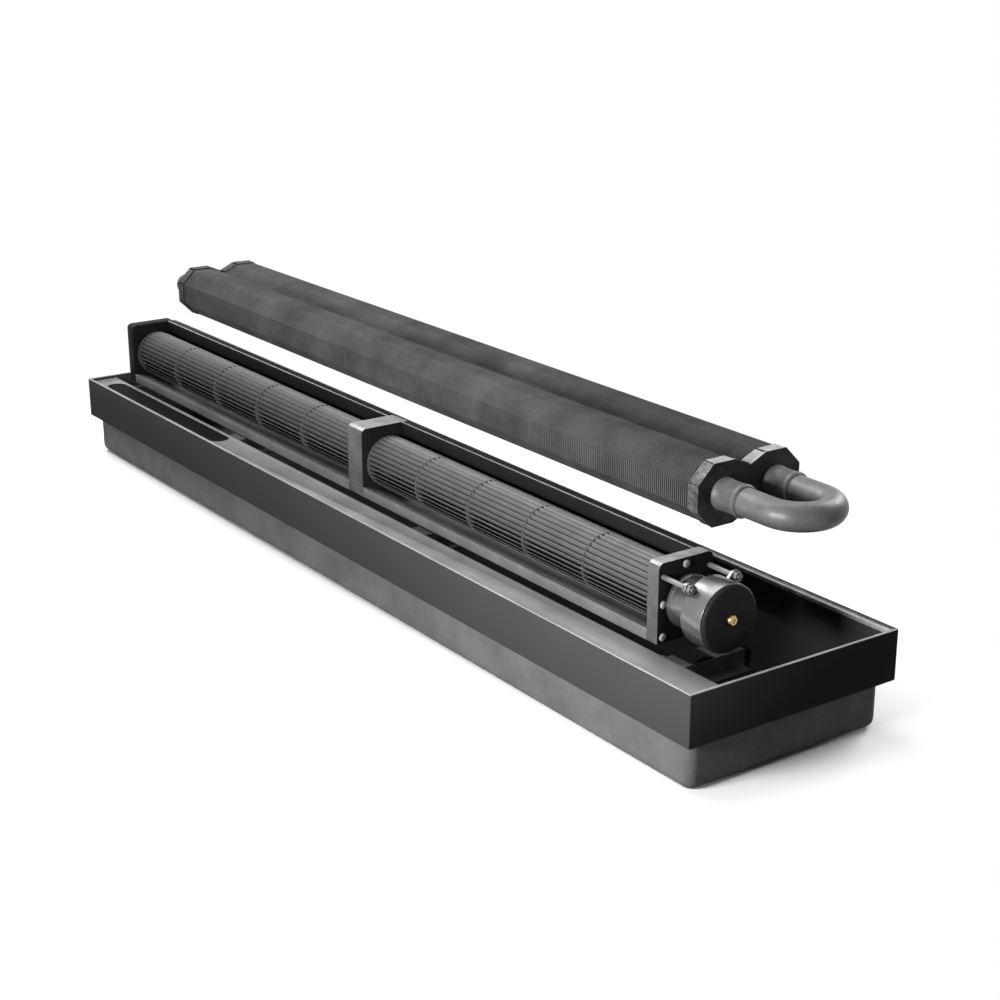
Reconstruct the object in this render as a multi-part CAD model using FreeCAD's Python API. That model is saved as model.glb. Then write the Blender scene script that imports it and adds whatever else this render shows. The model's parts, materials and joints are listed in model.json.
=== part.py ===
import FreeCAD, Part
import math
import os

# Trench convector: a shallow floor trough with a cross-flow fan module and a finned heat exchanger,
# both lifted straight up out of it.
# Millimetres. X runs along the trough, Y across it from the deck side to the rear, Z up.
# The origin is the centre of the trough's bottom.

# Trough
trough_length = 1000.0
trough_width = 200.0
trough_height = 80.0
rim_bottom = 39.0
rim_wall = 2.5
rim_overhang = 7.0
rim_flange = 2.0
grille_depth = 16.0
ledge_width = 6.5
mitre_reach = 20.0
corner_key_leg = 26.0
corner_key_thickness = 3.6
pan_wall = 1.5
pan_corner_radius = 9.0
pan_bottom_radius = 8.0
pan_wall_foot = 2.4
floor_hole_radius = 3.5
floor_hole_inset = 200.0
floor_hole_spacing_y = 90.0
rear_strip_width = 9.0
sheet = 1.2

# Deck over the cable duct, with its terminal tray
deck_drop = 3.0
deck_reach = 34.0
deck_edge_radius = 4.0
partition_foot = 3.0
partition_end_gap = 16.0
slot_length = 258.0
slot_width = 20.0
slot_left_margin = 26.0
slot_setback = 5.0
tray_wall = 1.6
tray_depth = 10.5
tray_lip = 2.2
lid_thickness = 2.4
lid_gap = 0.3
terminal_block_size = (64.0, 12.0, 6.0)

# Openings in the left end of the pan, and what lines them
pipe_entry_radius = 11.0
pipe_entry_height = 22.0
grommet_bore = 8.5
grommet_lip = 3.0
grommet_lip_thickness = 2.0
cable_entry_radius = 5.0
cable_entry_y = -76.0
gland_bore = 3.0
gland_body_radius = 7.0
gland_outside = 5.5
gland_nut_thickness = 4.0

# Fan module
fan_lift = 76.0
fan_pad_thickness = 2.5
fan_gap = 2.0
fan_depth = 51.0
fan_height = 62.0
fan_axis_depth = 25.5
fan_axis_height = 30.0
fan_left_margin = 30.0
left_plate_depth = 14.0
left_bay_length = 448.0
middle_frame_depth = 24.0
fan_right_margin = 91.0
right_plate_depth = 12.0
plate_sheet = 1.5
plate_corner = 5.0
lip_height = 9.0
scroll_gap = 3.0
tongue_drop = 26.0
tongue_reach = 10.0
pad_width = 40.0

# Impellers and their shafts
impeller_radius = 23.0
blade_chord = 5.2
blade_thickness = 0.7
blade_count = 22
blade_camber = 1.1
blade_skew = 28.0
segment_count = 5
disc_thickness = 1.2
impeller_end_gap = 3.0
hub_radius = 7.0
hub_length = 6.0
shaft_radius = 3.0
shaft_fit = 0.05
bush_radius = 5.0
bush_length = 7.0
rubber_radius = 9.0
rubber_length = 5.0

# Motor
motor_radius = 26.0
motor_neck_radius = 20.5
motor_neck_length = 24.0
motor_length = 20.0
motor_wall = 1.5
motor_cap_thickness = 3.0
motor_gap = 2.0
boss_radius = 4.0
boss_height = 3.0
stator_bore = 13.5
stator_length = 14.0
rotor_air_gap = 0.5
ear_radius = 4.5
ear_thickness = 3.0
rod_radius = 2.0
rod_angles = (135.0, 45.0, 315.0)
nut_flats = 7.0
nut_thickness = 3.0
screw_head_radius = 3.0
screw_head_height = 1.6
screw_inset = 5.0

# Heat exchanger
exchanger_lift = 132.0
saddle_height = 16.5
saddle_top = 24.0
saddle_foot = 9.0
saddle_span = 88.0
saddle_inset = 53.5
locator_height = 4.5
locator_half_width = 12.0
seat_gap = 0.1
fins_left_margin = 51.5
fins_right_margin = 101.5
fin_count = 41
fin_thickness = 1.0
lobe_width = 47.0
lobe_spacing = 51.0
valley_depth = 7.0
exchanger_rear_gap = 3.0
end_plate_sheet = 1.0
end_flange_depth = 10.0
end_flange_gap = 0.2
pipe_radius = 11.0
pipe_wall = 1.0
fin_hole_gap = 0.02
pipe_stub = 20.0
pipe_tail = 14.0
socket_radius = 13.0
socket_length = 24.0
bend_leg = 37.0
nipple_radius = 10.48
nipple_length = 15.0
nipple_hex_flats = 26.0
nipple_hex_length = 7.0
nipple_bore = 8.0
vent_radius = 4.5
vent_height = 9.0
vent_stub_position = 7.0
vent_screw_radius = 2.5
vent_screw_fit = 0.05
vent_screw_depth = 6.0
vent_head_radius = 3.4
vent_head_height = 3.0

# Places that follow from the sizes above
half_length = trough_length / 2
half_width = trough_width / 2
ledge_top = trough_height - grille_depth
pan_top = ledge_top - rim_flange
pan_x = half_length - rim_overhang
pan_y = half_width - rim_overhang
pan_inner_x = pan_x - pan_wall
rim_inner_x = half_length - rim_wall
rim_inner_y = half_width - rim_wall
deck_top = trough_height - deck_drop
deck_rear = -half_width + deck_reach
slot_y = -rim_inner_y + slot_setback + slot_width / 2
slot_left = -half_length + slot_left_margin
tray_top = deck_top - sheet
fan_base = pan_wall + fan_pad_thickness + fan_lift
fan_front = deck_rear + fan_gap
fan_rear = fan_front + fan_depth
axis_y = fan_front + fan_axis_depth
axis_z = fan_base + fan_axis_height
left_plate_x = -half_length + fan_left_margin
left_web = left_plate_x + left_plate_depth
middle_frame_x = left_web + left_bay_length
middle_web = middle_frame_x + middle_frame_depth
right_plate_x = half_length - fan_right_margin
right_web = right_plate_x + right_plate_depth
motor_neck_x = right_web + motor_gap
motor_x = motor_neck_x + motor_neck_length
motor_cap_x = motor_x + motor_length
motor_end = motor_cap_x + motor_cap_thickness
blade_inner_radius = impeller_radius - blade_chord
lobe_half = lobe_width / 2
exchanger_rear = pan_y - pan_wall - exchanger_rear_gap
rear_lobe_y = exchanger_rear - lobe_half
front_lobe_y = rear_lobe_y - lobe_spacing
middle_y = (front_lobe_y + rear_lobe_y) / 2
saddle_z = pan_wall + saddle_height
lobe_z = saddle_z + seat_gap + exchanger_lift + lobe_half
fin_stack_left = -half_length + fins_left_margin
fin_stack_right = half_length - fins_right_margin
stub_end = fin_stack_left - end_plate_sheet - pipe_stub
tail_end = fin_stack_right + end_plate_sheet + pipe_tail


def vec(x, y, z):
    return FreeCAD.Vector(x, y, z)


def box(x0, x1, y0, y1, z0, z1):
    return Part.makeBox(x1 - x0, y1 - y0, z1 - z0, vec(x0, y0, z0))


def rod_x(x0, x1, y, z, radius):
    return Part.makeCylinder(radius, x1 - x0, vec(x0, y, z), vec(1, 0, 0))


def ring_x(x0, x1, y, z, outer, inner):
    return rod_x(x0, x1, y, z, outer).cut(rod_x(x0, x1, y, z, inner))


def rod_z(z0, z1, x, y, radius):
    return Part.makeCylinder(radius, z1 - z0, vec(x, y, z0))


def prism(points, sweep):
    """A straight-sided outline, given as points in one plane, drawn out along a vector."""
    return Part.Face(Part.makePolygon(points + [points[0]])).extrude(sweep)


def prism_x(outline, x0, x1):
    return prism([vec(x0, y, z) for y, z in outline], vec(x1 - x0, 0, 0))


def hex_x(x0, x1, y, z, flats):
    reach = flats / math.sqrt(3.0)
    corners = [math.radians(60 * turn) for turn in range(6)]
    return prism_x([(y + reach * math.cos(a), z + reach * math.sin(a)) for a in corners], x0, x1)


def stadium(x0, x1, y, radius, z0, z1):
    """A long rounded block: two half rounds of the given radius with a straight run between."""
    shape = rod_z(z0, z1, x0 + radius, y, radius)
    shape = shape.fuse(rod_z(z0, z1, x1 - radius, y, radius))
    shape = shape.fuse(box(x0 + radius, x1 - radius, y - radius, y + radius, z0, z1))
    return shape.removeSplitter()


def bent_sheet(edges, thickness, sweep):
    """A sheet whose outer face follows the edges in turn and is drawn out along a vector."""
    path = Part.Wire(edges)
    return path.makeOffset2D(thickness, 2, True, True).extrude(sweep)


def fuse_all(shapes):
    return shapes[0].multiFuse(shapes[1:]).removeSplitter()


def export(name, shapes):
    """Writes one node: a single solid, or a group of separate solids as one compound."""
    group = shapes if isinstance(shapes, list) else [shapes]
    shape = group[0] if len(group) == 1 else Part.makeCompound(group)
    shape.exportStep("parts/" + name + ".step")


def rounded_block(x, y, z0, z1, corner):
    """A block about the upright axis with rounded upright corners."""
    block = box(-x, x, -y, y, z0, z1)
    upright = [e for e in block.Edges if e.BoundBox.ZLength > (z1 - z0) / 2]
    return block.makeFillet(corner, upright)


def rounded_tub(x, y, top, corner, bottom, floor_z):
    """A block with rounded upright corners and a rounded bottom edge."""
    block = rounded_block(x, y, floor_z, top, corner)
    foot = [e for e in block.Edges if e.BoundBox.ZMax < floor_z + bottom / 10]
    return block.makeFillet(bottom, foot)


def mitred(ring, x, y, reach, height):
    """Cuts a ring along the mitres of its corners: the front, rear, left and right parts."""
    long_side = [(-x, -y), (x, -y), (x - reach, -y + reach), (-x + reach, -y + reach)]
    short_side = [(-x, -y), (-x + reach, -y + reach), (-x + reach, y - reach), (-x, y)]
    outlines = [
        long_side,
        [(px, -py) for px, py in long_side],
        short_side,
        [(-px, py) for px, py in short_side],
    ]
    parts = []
    for outline in outlines:
        wedge = prism([vec(px, py, 0) for px, py in outline], vec(0, 0, height))
        parts.append(ring.common(wedge))
    return parts


def make_tub():
    """The lower pan as one rounded tub, with its holes for screws, pipes and cable."""
    pan = rounded_tub(pan_x, pan_y, pan_top, pan_corner_radius, pan_bottom_radius, 0)
    hollow = rounded_tub(
        pan_inner_x,
        pan_y - pan_wall,
        pan_top + 1,
        pan_corner_radius - pan_wall,
        pan_bottom_radius - pan_wall,
        pan_wall,
    )
    pan = pan.cut(hollow)
    for side_x in (-1, 1):
        for side_y in (-1, 1):
            x = side_x * (half_length - floor_hole_inset)
            y = side_y * floor_hole_spacing_y / 2
            pan = pan.cut(rod_z(-1, pan_wall + 1, x, y, floor_hole_radius))
    for y in (front_lobe_y, rear_lobe_y):
        pan = pan.cut(rod_x(-pan_x - 1, -pan_inner_x + 1, y, pipe_entry_height, pipe_entry_radius))
    pan = pan.cut(
        rod_x(-pan_x - 1, -pan_inner_x + 1, cable_entry_y, pipe_entry_height, cable_entry_radius)
    )
    return pan


def divide_tub(tub):
    """The tub's floor with most of its rounded edge, and its four upright walls."""
    inner_x = pan_x - pan_wall_foot
    inner_y = pan_y - pan_wall_foot
    core = rounded_block(inner_x, inner_y, -1, pan_bottom_radius, pan_corner_radius - pan_wall_foot)
    floor = tub.common(core)
    return [floor] + mitred(tub.cut(core), pan_x, pan_y, pan_corner_radius, trough_height)


def rim_ring():
    """The whole rim before it is mitred: an outer wall, a flange under it and a ledge for a grille."""
    outer = box(-half_length, half_length, -half_width, half_width, rim_bottom, trough_height)
    ring = outer.cut(
        box(-rim_inner_x, rim_inner_x, -rim_inner_y, rim_inner_y, rim_bottom - 1, trough_height + 1)
    )
    inside = box(-rim_inner_x, rim_inner_x, -rim_inner_y, rim_inner_y, rim_bottom, rim_bottom + rim_flange)
    flange = inside.cut(
        rounded_block(pan_x, pan_y, rim_bottom - 1, rim_bottom + rim_flange + 1, pan_corner_radius)
    )
    ledge = box(-rim_inner_x, rim_inner_x, -rim_inner_y, rim_inner_y, pan_top, ledge_top)
    open_x = rim_inner_x - ledge_width
    open_y = rim_inner_y - ledge_width
    ledge = ledge.cut(box(-open_x, open_x, -open_y, open_y, pan_top - 1, ledge_top + 1))
    return fuse_all([ring, flange, ledge])


def make_corner_keys():
    """An angle in each hollow corner of the rim, between the flange and the ledge."""
    key = box(0, corner_key_leg, 0, corner_key_thickness, rim_bottom + rim_flange, pan_top)
    key = key.fuse(box(0, corner_key_thickness, 0, corner_key_leg, rim_bottom + rim_flange, pan_top))
    key = key.removeSplitter()
    key.translate(vec(-rim_inner_x, -rim_inner_y, 0))
    turned = key.mirror(vec(0, 0, 0), vec(1, 0, 0))
    return [key, turned, key.mirror(vec(0, 0, 0), vec(0, 1, 0)), turned.mirror(vec(0, 0, 0), vec(0, 1, 0))]


def make_rear_strip():
    """The cover over the rear ledge: a flat top with its front edge turned down to the ledge."""
    inner = half_width - rear_strip_width
    outline = [
        (rim_inner_y, trough_height),
        (inner, trough_height),
        (inner, ledge_top),
        (inner + sheet, ledge_top),
        (inner + sheet, trough_height - sheet),
        (rim_inner_y, trough_height - sheet),
    ]
    return prism_x(outline, -rim_inner_x, rim_inner_x)


def make_deck():
    """A folded sheet: up from the front ledge, flat and round the rear edge to a short lip."""
    x = -rim_inner_x
    front = -rim_inner_y
    r = deck_edge_radius
    middle = math.sqrt(0.5) * r
    corner = vec(x, deck_rear - r, deck_top - r)
    edges = [
        Part.makeLine(vec(x, front, ledge_top), vec(x, front, deck_top)),
        Part.makeLine(vec(x, front, deck_top), vec(x, deck_rear - r, deck_top)),
        Part.Arc(
            vec(x, deck_rear - r, deck_top),
            corner + vec(0, middle, middle),
            vec(x, deck_rear, deck_top - r),
        ).toShape(),
        Part.makeLine(vec(x, deck_rear, deck_top - r), vec(x, deck_rear, ledge_top)),
    ]
    deck = bent_sheet(edges, sheet, vec(2 * rim_inner_x, 0, 0))
    cut = stadium(
        slot_left, slot_left + slot_length, slot_y, slot_width / 2, tray_top - 1, deck_top + 1
    )
    return deck.cut(cut)


def divide_deck(deck):
    """The deck's fields to the left and right of its slot, and the strips along the slot."""
    start = slot_left + slot_width / 2
    end = slot_left + slot_length - slot_width / 2
    fields = []
    for x0, x1 in ((-half_length, start), (start, end), (end, half_length)):
        fields += deck.common(box(x0, x1, -half_width, half_width, 0, trough_height)).Solids
    return fields


def make_partition():
    """The upright sheet between the cable duct and the fan, open at both ends for the cable."""
    x = pan_inner_x - partition_end_gap
    edges = [
        Part.makeLine(vec(-x, deck_rear, ledge_top), vec(-x, deck_rear, pan_wall)),
        Part.makeLine(vec(-x, deck_rear, pan_wall), vec(-x, deck_rear - partition_foot, pan_wall)),
    ]
    return bent_sheet(edges, sheet, vec(2 * x, 0, 0))


def make_tray():
    """The shallow terminal tray that hangs under the slot, with a step that carries its lid."""
    right = slot_left + slot_length
    radius = slot_width / 2
    floor_z = tray_top - tray_depth
    grow = tray_wall
    tray = stadium(slot_left - grow, right + grow, slot_y, radius + grow, floor_z, tray_top)
    step = tray_lip
    tray = tray.cut(
        stadium(slot_left + step, right - step, slot_y, radius - step, floor_z + tray_wall, tray_top + 1)
    )
    lid_seat = deck_top - lid_thickness
    return tray.cut(stadium(slot_left, right, slot_y, radius, lid_seat, tray_top + 1))


def make_lid():
    radius = slot_width / 2 - lid_gap
    left = slot_left + lid_gap
    right = slot_left + slot_length - lid_gap
    lid = stadium(left, right, slot_y, radius, deck_top - lid_thickness, deck_top)
    top = [e for e in lid.Edges if e.BoundBox.ZMin > deck_top - lid_thickness / 4]
    return lid.makeChamfer(lid_thickness / 4, top)


def make_terminal_block():
    length, width, height = terminal_block_size
    x = slot_left + slot_width
    floor_z = tray_top - tray_depth + tray_wall
    block = box(x, x + length, slot_y - width / 2, slot_y + width / 2, floor_z, floor_z + height)
    pitch = length / 6
    for way in range(1, 6):
        groove = box(
            x + way * pitch - sheet / 2,
            x + way * pitch + sheet / 2,
            slot_y - width,
            slot_y + width,
            floor_z + height / 2,
            floor_z + height + 1,
        )
        block = block.cut(groove)
    return block


def make_grommet(y):
    """A rubber ring that clips in an entry hole, with a lip on each face of the wall."""
    outside = -pan_x
    inside = -pan_inner_x
    lip = pipe_entry_radius + grommet_lip
    body = rod_x(outside, inside, y, pipe_entry_height, pipe_entry_radius)
    body = body.fuse(rod_x(outside - grommet_lip_thickness, outside, y, pipe_entry_height, lip))
    body = body.fuse(rod_x(inside, inside + grommet_lip_thickness, y, pipe_entry_height, lip))
    bore = rod_x(outside - half_length, inside + half_length, y, pipe_entry_height, grommet_bore)
    return body.cut(bore).removeSplitter()


def make_gland():
    """The cable gland: a domed body outside the pan and a threaded stem through it."""
    y, z = cable_entry_y, pipe_entry_height
    outside = -pan_x
    inside = -pan_inner_x
    body = hex_x(outside - gland_outside, outside, y, z, 2 * gland_body_radius)
    stem = rod_x(outside, inside + gland_nut_thickness, y, z, cable_entry_radius)
    bore = rod_x(outside - half_length, inside + half_length, y, z, gland_bore)
    return fuse_all([body, stem]).cut(bore)


def make_gland_nut():
    inside = -pan_inner_x
    y, z = cable_entry_y, pipe_entry_height
    nut = hex_x(inside, inside + gland_nut_thickness, y, z, 2 * gland_body_radius)
    return nut.cut(rod_x(inside - 1, inside + gland_nut_thickness + 1, y, z, cable_entry_radius))


def saddle_places():
    centre = (fin_stack_left + fin_stack_right) / 2
    return [fin_stack_left + saddle_inset, centre, fin_stack_right - saddle_inset]


def make_saddle(x):
    """A hat-shaped bracket across the pan floor that carries the fins."""
    inner = saddle_top / 2 - sheet
    outer = saddle_top / 2
    foot = outer + saddle_foot
    floor_z = pan_wall
    half = [(foot, floor_z), (inner, floor_z), (inner, saddle_z - sheet)]
    over = [(outer, saddle_z), (outer, floor_z + sheet), (foot, floor_z + sheet)]
    outline = [(px, pz) for px, pz in half]
    outline += [(-px, pz) for px, pz in reversed(half)]
    outline += [(-px, pz) for px, pz in reversed(over)]
    outline += [(px, pz) for px, pz in over]
    front = middle_y - saddle_span / 2
    return prism([vec(x + px, front, pz) for px, pz in outline], vec(0, saddle_span, 0))


def make_locator(x):
    """A rubber wedge on a saddle that enters the groove between the two lobes of the fins."""
    w = locator_half_width
    outline = [(middle_y - w, saddle_z), (middle_y + w, saddle_z), (middle_y, saddle_z + locator_height)]
    return prism_x(outline, x - saddle_top / 2, x + saddle_top / 2)


def plate_places():
    return [
        (left_plate_x, left_plate_depth),
        (middle_frame_x, middle_frame_depth),
        (right_plate_x, right_plate_depth),
    ]


def make_fan_pad(x, depth):
    """A rubber strip on the pan floor, under one of the three plates of the fan."""
    y = (fan_front + fan_rear) / 2
    return box(x, x + depth, y - pad_width / 2, y + pad_width / 2, pan_wall, pan_wall + fan_pad_thickness)


def make_fan_plate(x, depth):
    """A pressed tray: a web across the fan with a flange all round that points left."""
    web = x + depth
    top = fan_base + fan_height
    tray = box(x, web, fan_front, fan_rear, fan_base, top)
    upright = [e for e in tray.Edges if e.BoundBox.XLength > depth / 2 and e.BoundBox.ZMin > axis_z]
    tray = tray.makeFillet(plate_corner, upright)
    hollow = box(
        x - 1,
        web - plate_sheet,
        fan_front + plate_sheet,
        fan_rear - plate_sheet,
        fan_base + plate_sheet,
        top - plate_sheet,
    )
    long_edges = [e for e in hollow.Edges if e.BoundBox.XLength > depth / 2 and e.BoundBox.ZMin > axis_z]
    return tray.cut(hollow.makeFillet(plate_corner - plate_sheet, long_edges))


def bearing_hole(web):
    return rod_x(web - rubber_length, web + 1, axis_y, axis_z, rubber_radius)


def make_rubber(web):
    return ring_x(web - rubber_length, web, axis_y, axis_z, rubber_radius, bush_radius)


def make_bush(web):
    x = web - rubber_length / 2
    return ring_x(x - bush_length / 2, x + bush_length / 2, axis_y, axis_z, bush_radius, shaft_radius + shaft_fit)


def make_scroll(x0, x1):
    """The fan's lower guide: a front lip, a trough round the impeller and a ramp to the outlet."""
    radius = impeller_radius + scroll_gap
    turn = math.radians(20)
    side, low = radius * math.sin(turn), radius * math.cos(turn)
    centre = vec(x0, axis_y, axis_z)
    corner = vec(x0, fan_front, fan_base + lip_height)
    arc_front = centre + vec(0, -side, -low)
    arc_rear = centre + vec(0, side, -low)
    edges = [
        Part.makeLine(vec(x0, fan_front, fan_base), corner),
        Part.makeLine(corner, arc_front),
        Part.Arc(arc_front, centre - vec(0, 0, radius), arc_rear).toShape(),
        Part.makeLine(arc_rear, vec(x0, fan_rear, fan_base + lip_height / 2)),
    ]
    return bent_sheet(edges, sheet, vec(x1 - x0, 0, 0))


def make_tongue(x0, x1):
    """The fan's upper rear guide: a rear wall, a top flange and a lip turned towards the impeller."""
    top = fan_base + fan_height
    front = fan_rear - tongue_reach
    clear = (impeller_radius + scroll_gap) * math.sqrt(0.5)
    lip = vec(x0, axis_y + clear, axis_z + clear)
    edges = [
        Part.makeLine(vec(x0, fan_rear, top - tongue_drop), vec(x0, fan_rear, top)),
        Part.makeLine(vec(x0, fan_rear, top), vec(x0, front, top)),
        Part.makeLine(vec(x0, front, top), lip),
    ]
    return bent_sheet(edges, -sheet, vec(x1 - x0, 0, 0))


def blade_outline(angle):
    """One cambered blade as six corners across the impeller, from its inner to its outer edge."""
    rise = blade_camber
    half = blade_thickness / 2
    along = [(0.0, 0.0), (blade_chord / 2, rise), (blade_chord, 0.0)]
    corners = [(u, v - half) for u, v in along] + [(u, v + half) for u, v in reversed(along)]
    skew = math.radians(blade_skew)
    points = []
    for u, v in corners:
        radial = blade_inner_radius + u * math.cos(skew) - v * math.sin(skew)
        across = u * math.sin(skew) + v * math.cos(skew)
        points.append(
            (
                axis_y + radial * math.cos(angle) - across * math.sin(angle),
                axis_z + radial * math.sin(angle) + across * math.cos(angle),
            )
        )
    return points


def make_impeller(x0, x1):
    """Long cambered blades round a row of many-sided discs, with a hub on each end disc."""
    start = x0 + impeller_end_gap
    end = x1 - impeller_end_gap
    blades = []
    for number in range(blade_count):
        outline = blade_outline(2 * math.pi * number / blade_count)
        blades.append(prism_x(outline, start, end))
    pitch = (end - start - disc_thickness) / segment_count
    disc_radius = blade_inner_radius + blade_thickness
    turns = [2 * math.pi * (number + 0.5) / blade_count for number in range(blade_count)]
    rim = [(axis_y + disc_radius * math.cos(a), axis_z + disc_radius * math.sin(a)) for a in turns]
    discs = []
    for number in range(segment_count + 1):
        x = start + number * pitch
        discs.append(prism_x(rim, x, x + disc_thickness))
    hubs = [
        rod_x(start, start + hub_length, axis_y, axis_z, hub_radius),
        rod_x(end - hub_length, end, axis_y, axis_z, hub_radius),
    ]
    bores = [
        rod_x(start - 1, start + hub_length, axis_y, axis_z, shaft_radius),
        rod_x(end - hub_length, end + 1, axis_y, axis_z, shaft_radius),
    ]
    impeller = blades[0].multiFuse(blades[1:] + discs + hubs)
    for bore in bores:
        impeller = impeller.cut(bore)
    return impeller


def make_axle(x0, x1):
    return rod_x(x0, x1, axis_y, axis_z, shaft_radius)


def rod_centre(angle):
    reach = motor_radius + ear_radius
    turn = math.radians(angle)
    return axis_y + reach * math.cos(turn), axis_z + reach * math.sin(turn)


def make_motor_neck():
    """The motor's long bearing shield: its spigot centres it in the right plate."""
    neck = rod_x(motor_neck_x, motor_x, axis_y, axis_z, motor_neck_radius)
    neck = neck.fuse(rod_x(right_web - plate_sheet, motor_neck_x, axis_y, axis_z, rubber_radius))
    flange = rod_x(motor_x - motor_wall, motor_x, axis_y, axis_z, motor_radius)
    bore = rod_x(right_plate_x, motor_x + 1, axis_y, axis_z, shaft_radius + shaft_fit)
    return neck.fuse(flange).removeSplitter().cut(bore)


def make_motor_housing():
    """The motor's can, with three ears that its rods hold."""
    can = rod_x(motor_x, motor_cap_x, axis_y, axis_z, motor_radius)
    ear_x = motor_x + ear_thickness
    for angle in rod_angles:
        y, z = rod_centre(angle)
        ear = rod_x(ear_x - ear_thickness, ear_x, y, z, ear_radius)
        turn = math.radians(angle)
        across = vec(0, -math.sin(turn), math.cos(turn)) * ear_radius
        root = vec(ear_x - ear_thickness, axis_y, axis_z)
        tip = vec(ear_x - ear_thickness, y, z)
        arm = prism([root + across, tip + across, tip - across, root - across], vec(ear_thickness, 0, 0))
        can = can.fuse(arm).fuse(ear)
    for angle in rod_angles:
        y, z = rod_centre(angle)
        can = can.cut(rod_x(motor_x, motor_cap_x, y, z, rod_radius))
    can = can.removeSplitter()
    return can.cut(rod_x(motor_x - 1, motor_cap_x + 1, axis_y, axis_z, motor_radius - motor_wall))


def make_motor_cap():
    cap = rod_x(motor_cap_x, motor_end, axis_y, axis_z, motor_radius - motor_wall / 2)
    rim = [e for e in cap.Edges if e.BoundBox.XMin > motor_end - motor_cap_thickness / 4]
    cap = cap.makeChamfer(motor_cap_thickness / 2, rim)
    return cap.cut(rod_x(motor_cap_x - 1, motor_end + 1, axis_y, axis_z, boss_radius))


def make_motor_boss():
    """The brass end bearing in the cap, with a blind bore for the shaft."""
    boss = rod_x(motor_cap_x, motor_end + boss_height, axis_y, axis_z, boss_radius)
    return boss.cut(rod_x(motor_cap_x - 1, motor_end, axis_y, axis_z, shaft_radius + shaft_fit))


def make_stator():
    x = (motor_x + motor_cap_x - stator_length) / 2
    return ring_x(x, x + stator_length, axis_y, axis_z, motor_radius - motor_wall, stator_bore)


def make_motor_rotor():
    x = (motor_x + motor_cap_x - stator_length) / 2
    return ring_x(x, x + stator_length, axis_y, axis_z, stator_bore - rotor_air_gap, shaft_radius)


def make_rods():
    ear_x = motor_x + ear_thickness
    rods = []
    for angle in rod_angles:
        y, z = rod_centre(angle)
        rods.append(rod_x(right_web, ear_x + nut_thickness + 1, y, z, rod_radius))
    return rods


def make_rod_nuts():
    ear_x = motor_x + ear_thickness
    nuts = []
    for angle in rod_angles:
        y, z = rod_centre(angle)
        nut = hex_x(ear_x, ear_x + nut_thickness, y, z, nut_flats)
        nuts.append(nut.cut(rod_x(ear_x - 1, ear_x + nut_thickness + 1, y, z, rod_radius)))
    return nuts


def make_plate_screws():
    """Pan heads on the motor side of the right plate, near its edges."""
    low = fan_base + screw_inset
    high = fan_base + fan_height - screw_inset
    front = fan_front + screw_inset
    rear = fan_rear - screw_inset
    places = [(front, low), (front, axis_z), (axis_y, high), (rear, axis_z)]
    heads = []
    for y, z in places:
        heads.append(rod_x(right_web, right_web + screw_head_height, y, z, screw_head_radius))
    return heads


def lobe_outline(grow):
    """The outline of a fin across the exchanger: two eight-sided lobes with a shallow valley."""
    half = lobe_half + grow
    flat = half * math.tan(math.radians(22.5))
    valley = lobe_half - valley_depth + grow
    upper = [
        (front_lobe_y - half, flat),
        (front_lobe_y - flat, half),
        (front_lobe_y + flat, half),
        (middle_y, valley),
        (rear_lobe_y - flat, half),
        (rear_lobe_y + flat, half),
        (rear_lobe_y + half, flat),
    ]
    outline = [(y, lobe_z + z) for y, z in upper]
    outline += [(y, lobe_z - z) for y, z in reversed(upper)]
    return outline


def make_fins():
    """Thin plates on two pipes, each with six-sided openings whose flats grip the pipes."""
    pitch = (fin_stack_right - fin_stack_left - fin_thickness) / (fin_count - 1)
    flat = pipe_radius + fin_hole_gap
    corner = flat / math.cos(math.radians(30))
    plate = prism_x(lobe_outline(0), fin_stack_left, fin_stack_left + fin_thickness)
    for lobe_y in (front_lobe_y, rear_lobe_y):
        turns = [math.radians(60 * number + 30) for number in range(6)]
        hole = [(lobe_y + corner * math.cos(a), lobe_z + corner * math.sin(a)) for a in turns]
        plate = plate.cut(prism_x(hole, fin_stack_left - 1, fin_stack_left + fin_thickness + 1))
    fins = []
    for number in range(fin_count):
        fin = plate.copy()
        fin.translate(vec(number * pitch, 0, 0))
        fins.append(fin)
    return fins


def make_end_plate(face_x, inward):
    """A flanged end plate: a web against the last fin and a flange that wraps the fins."""
    web_x = sorted((face_x, face_x - inward * end_plate_sheet))
    web = prism_x(lobe_outline(end_flange_gap + end_plate_sheet), web_x[0], web_x[1])
    flange_x = sorted((face_x, face_x + inward * end_flange_depth))
    flange = prism_x(lobe_outline(end_flange_gap + end_plate_sheet), flange_x[0], flange_x[1])
    flange = flange.cut(prism_x(lobe_outline(end_flange_gap), flange_x[0], flange_x[1]))
    plate = web.fuse(flange).removeSplitter()
    for lobe_y in (front_lobe_y, rear_lobe_y):
        plate = plate.cut(rod_x(web_x[0] - 1, web_x[1] + 1, lobe_y, lobe_z, pipe_radius))
    return plate


def make_pipe(lobe_y):
    return ring_x(stub_end, tail_end, lobe_y, lobe_z, pipe_radius, pipe_radius - pipe_wall)


def make_sockets():
    """Short sleeves that join the two pipes to the bend."""
    sockets = []
    start = fin_stack_right + end_plate_sheet
    for lobe_y in (front_lobe_y, rear_lobe_y):
        sockets.append(ring_x(start, start + socket_length, lobe_y, lobe_z, socket_radius, pipe_radius))
    return sockets


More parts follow.
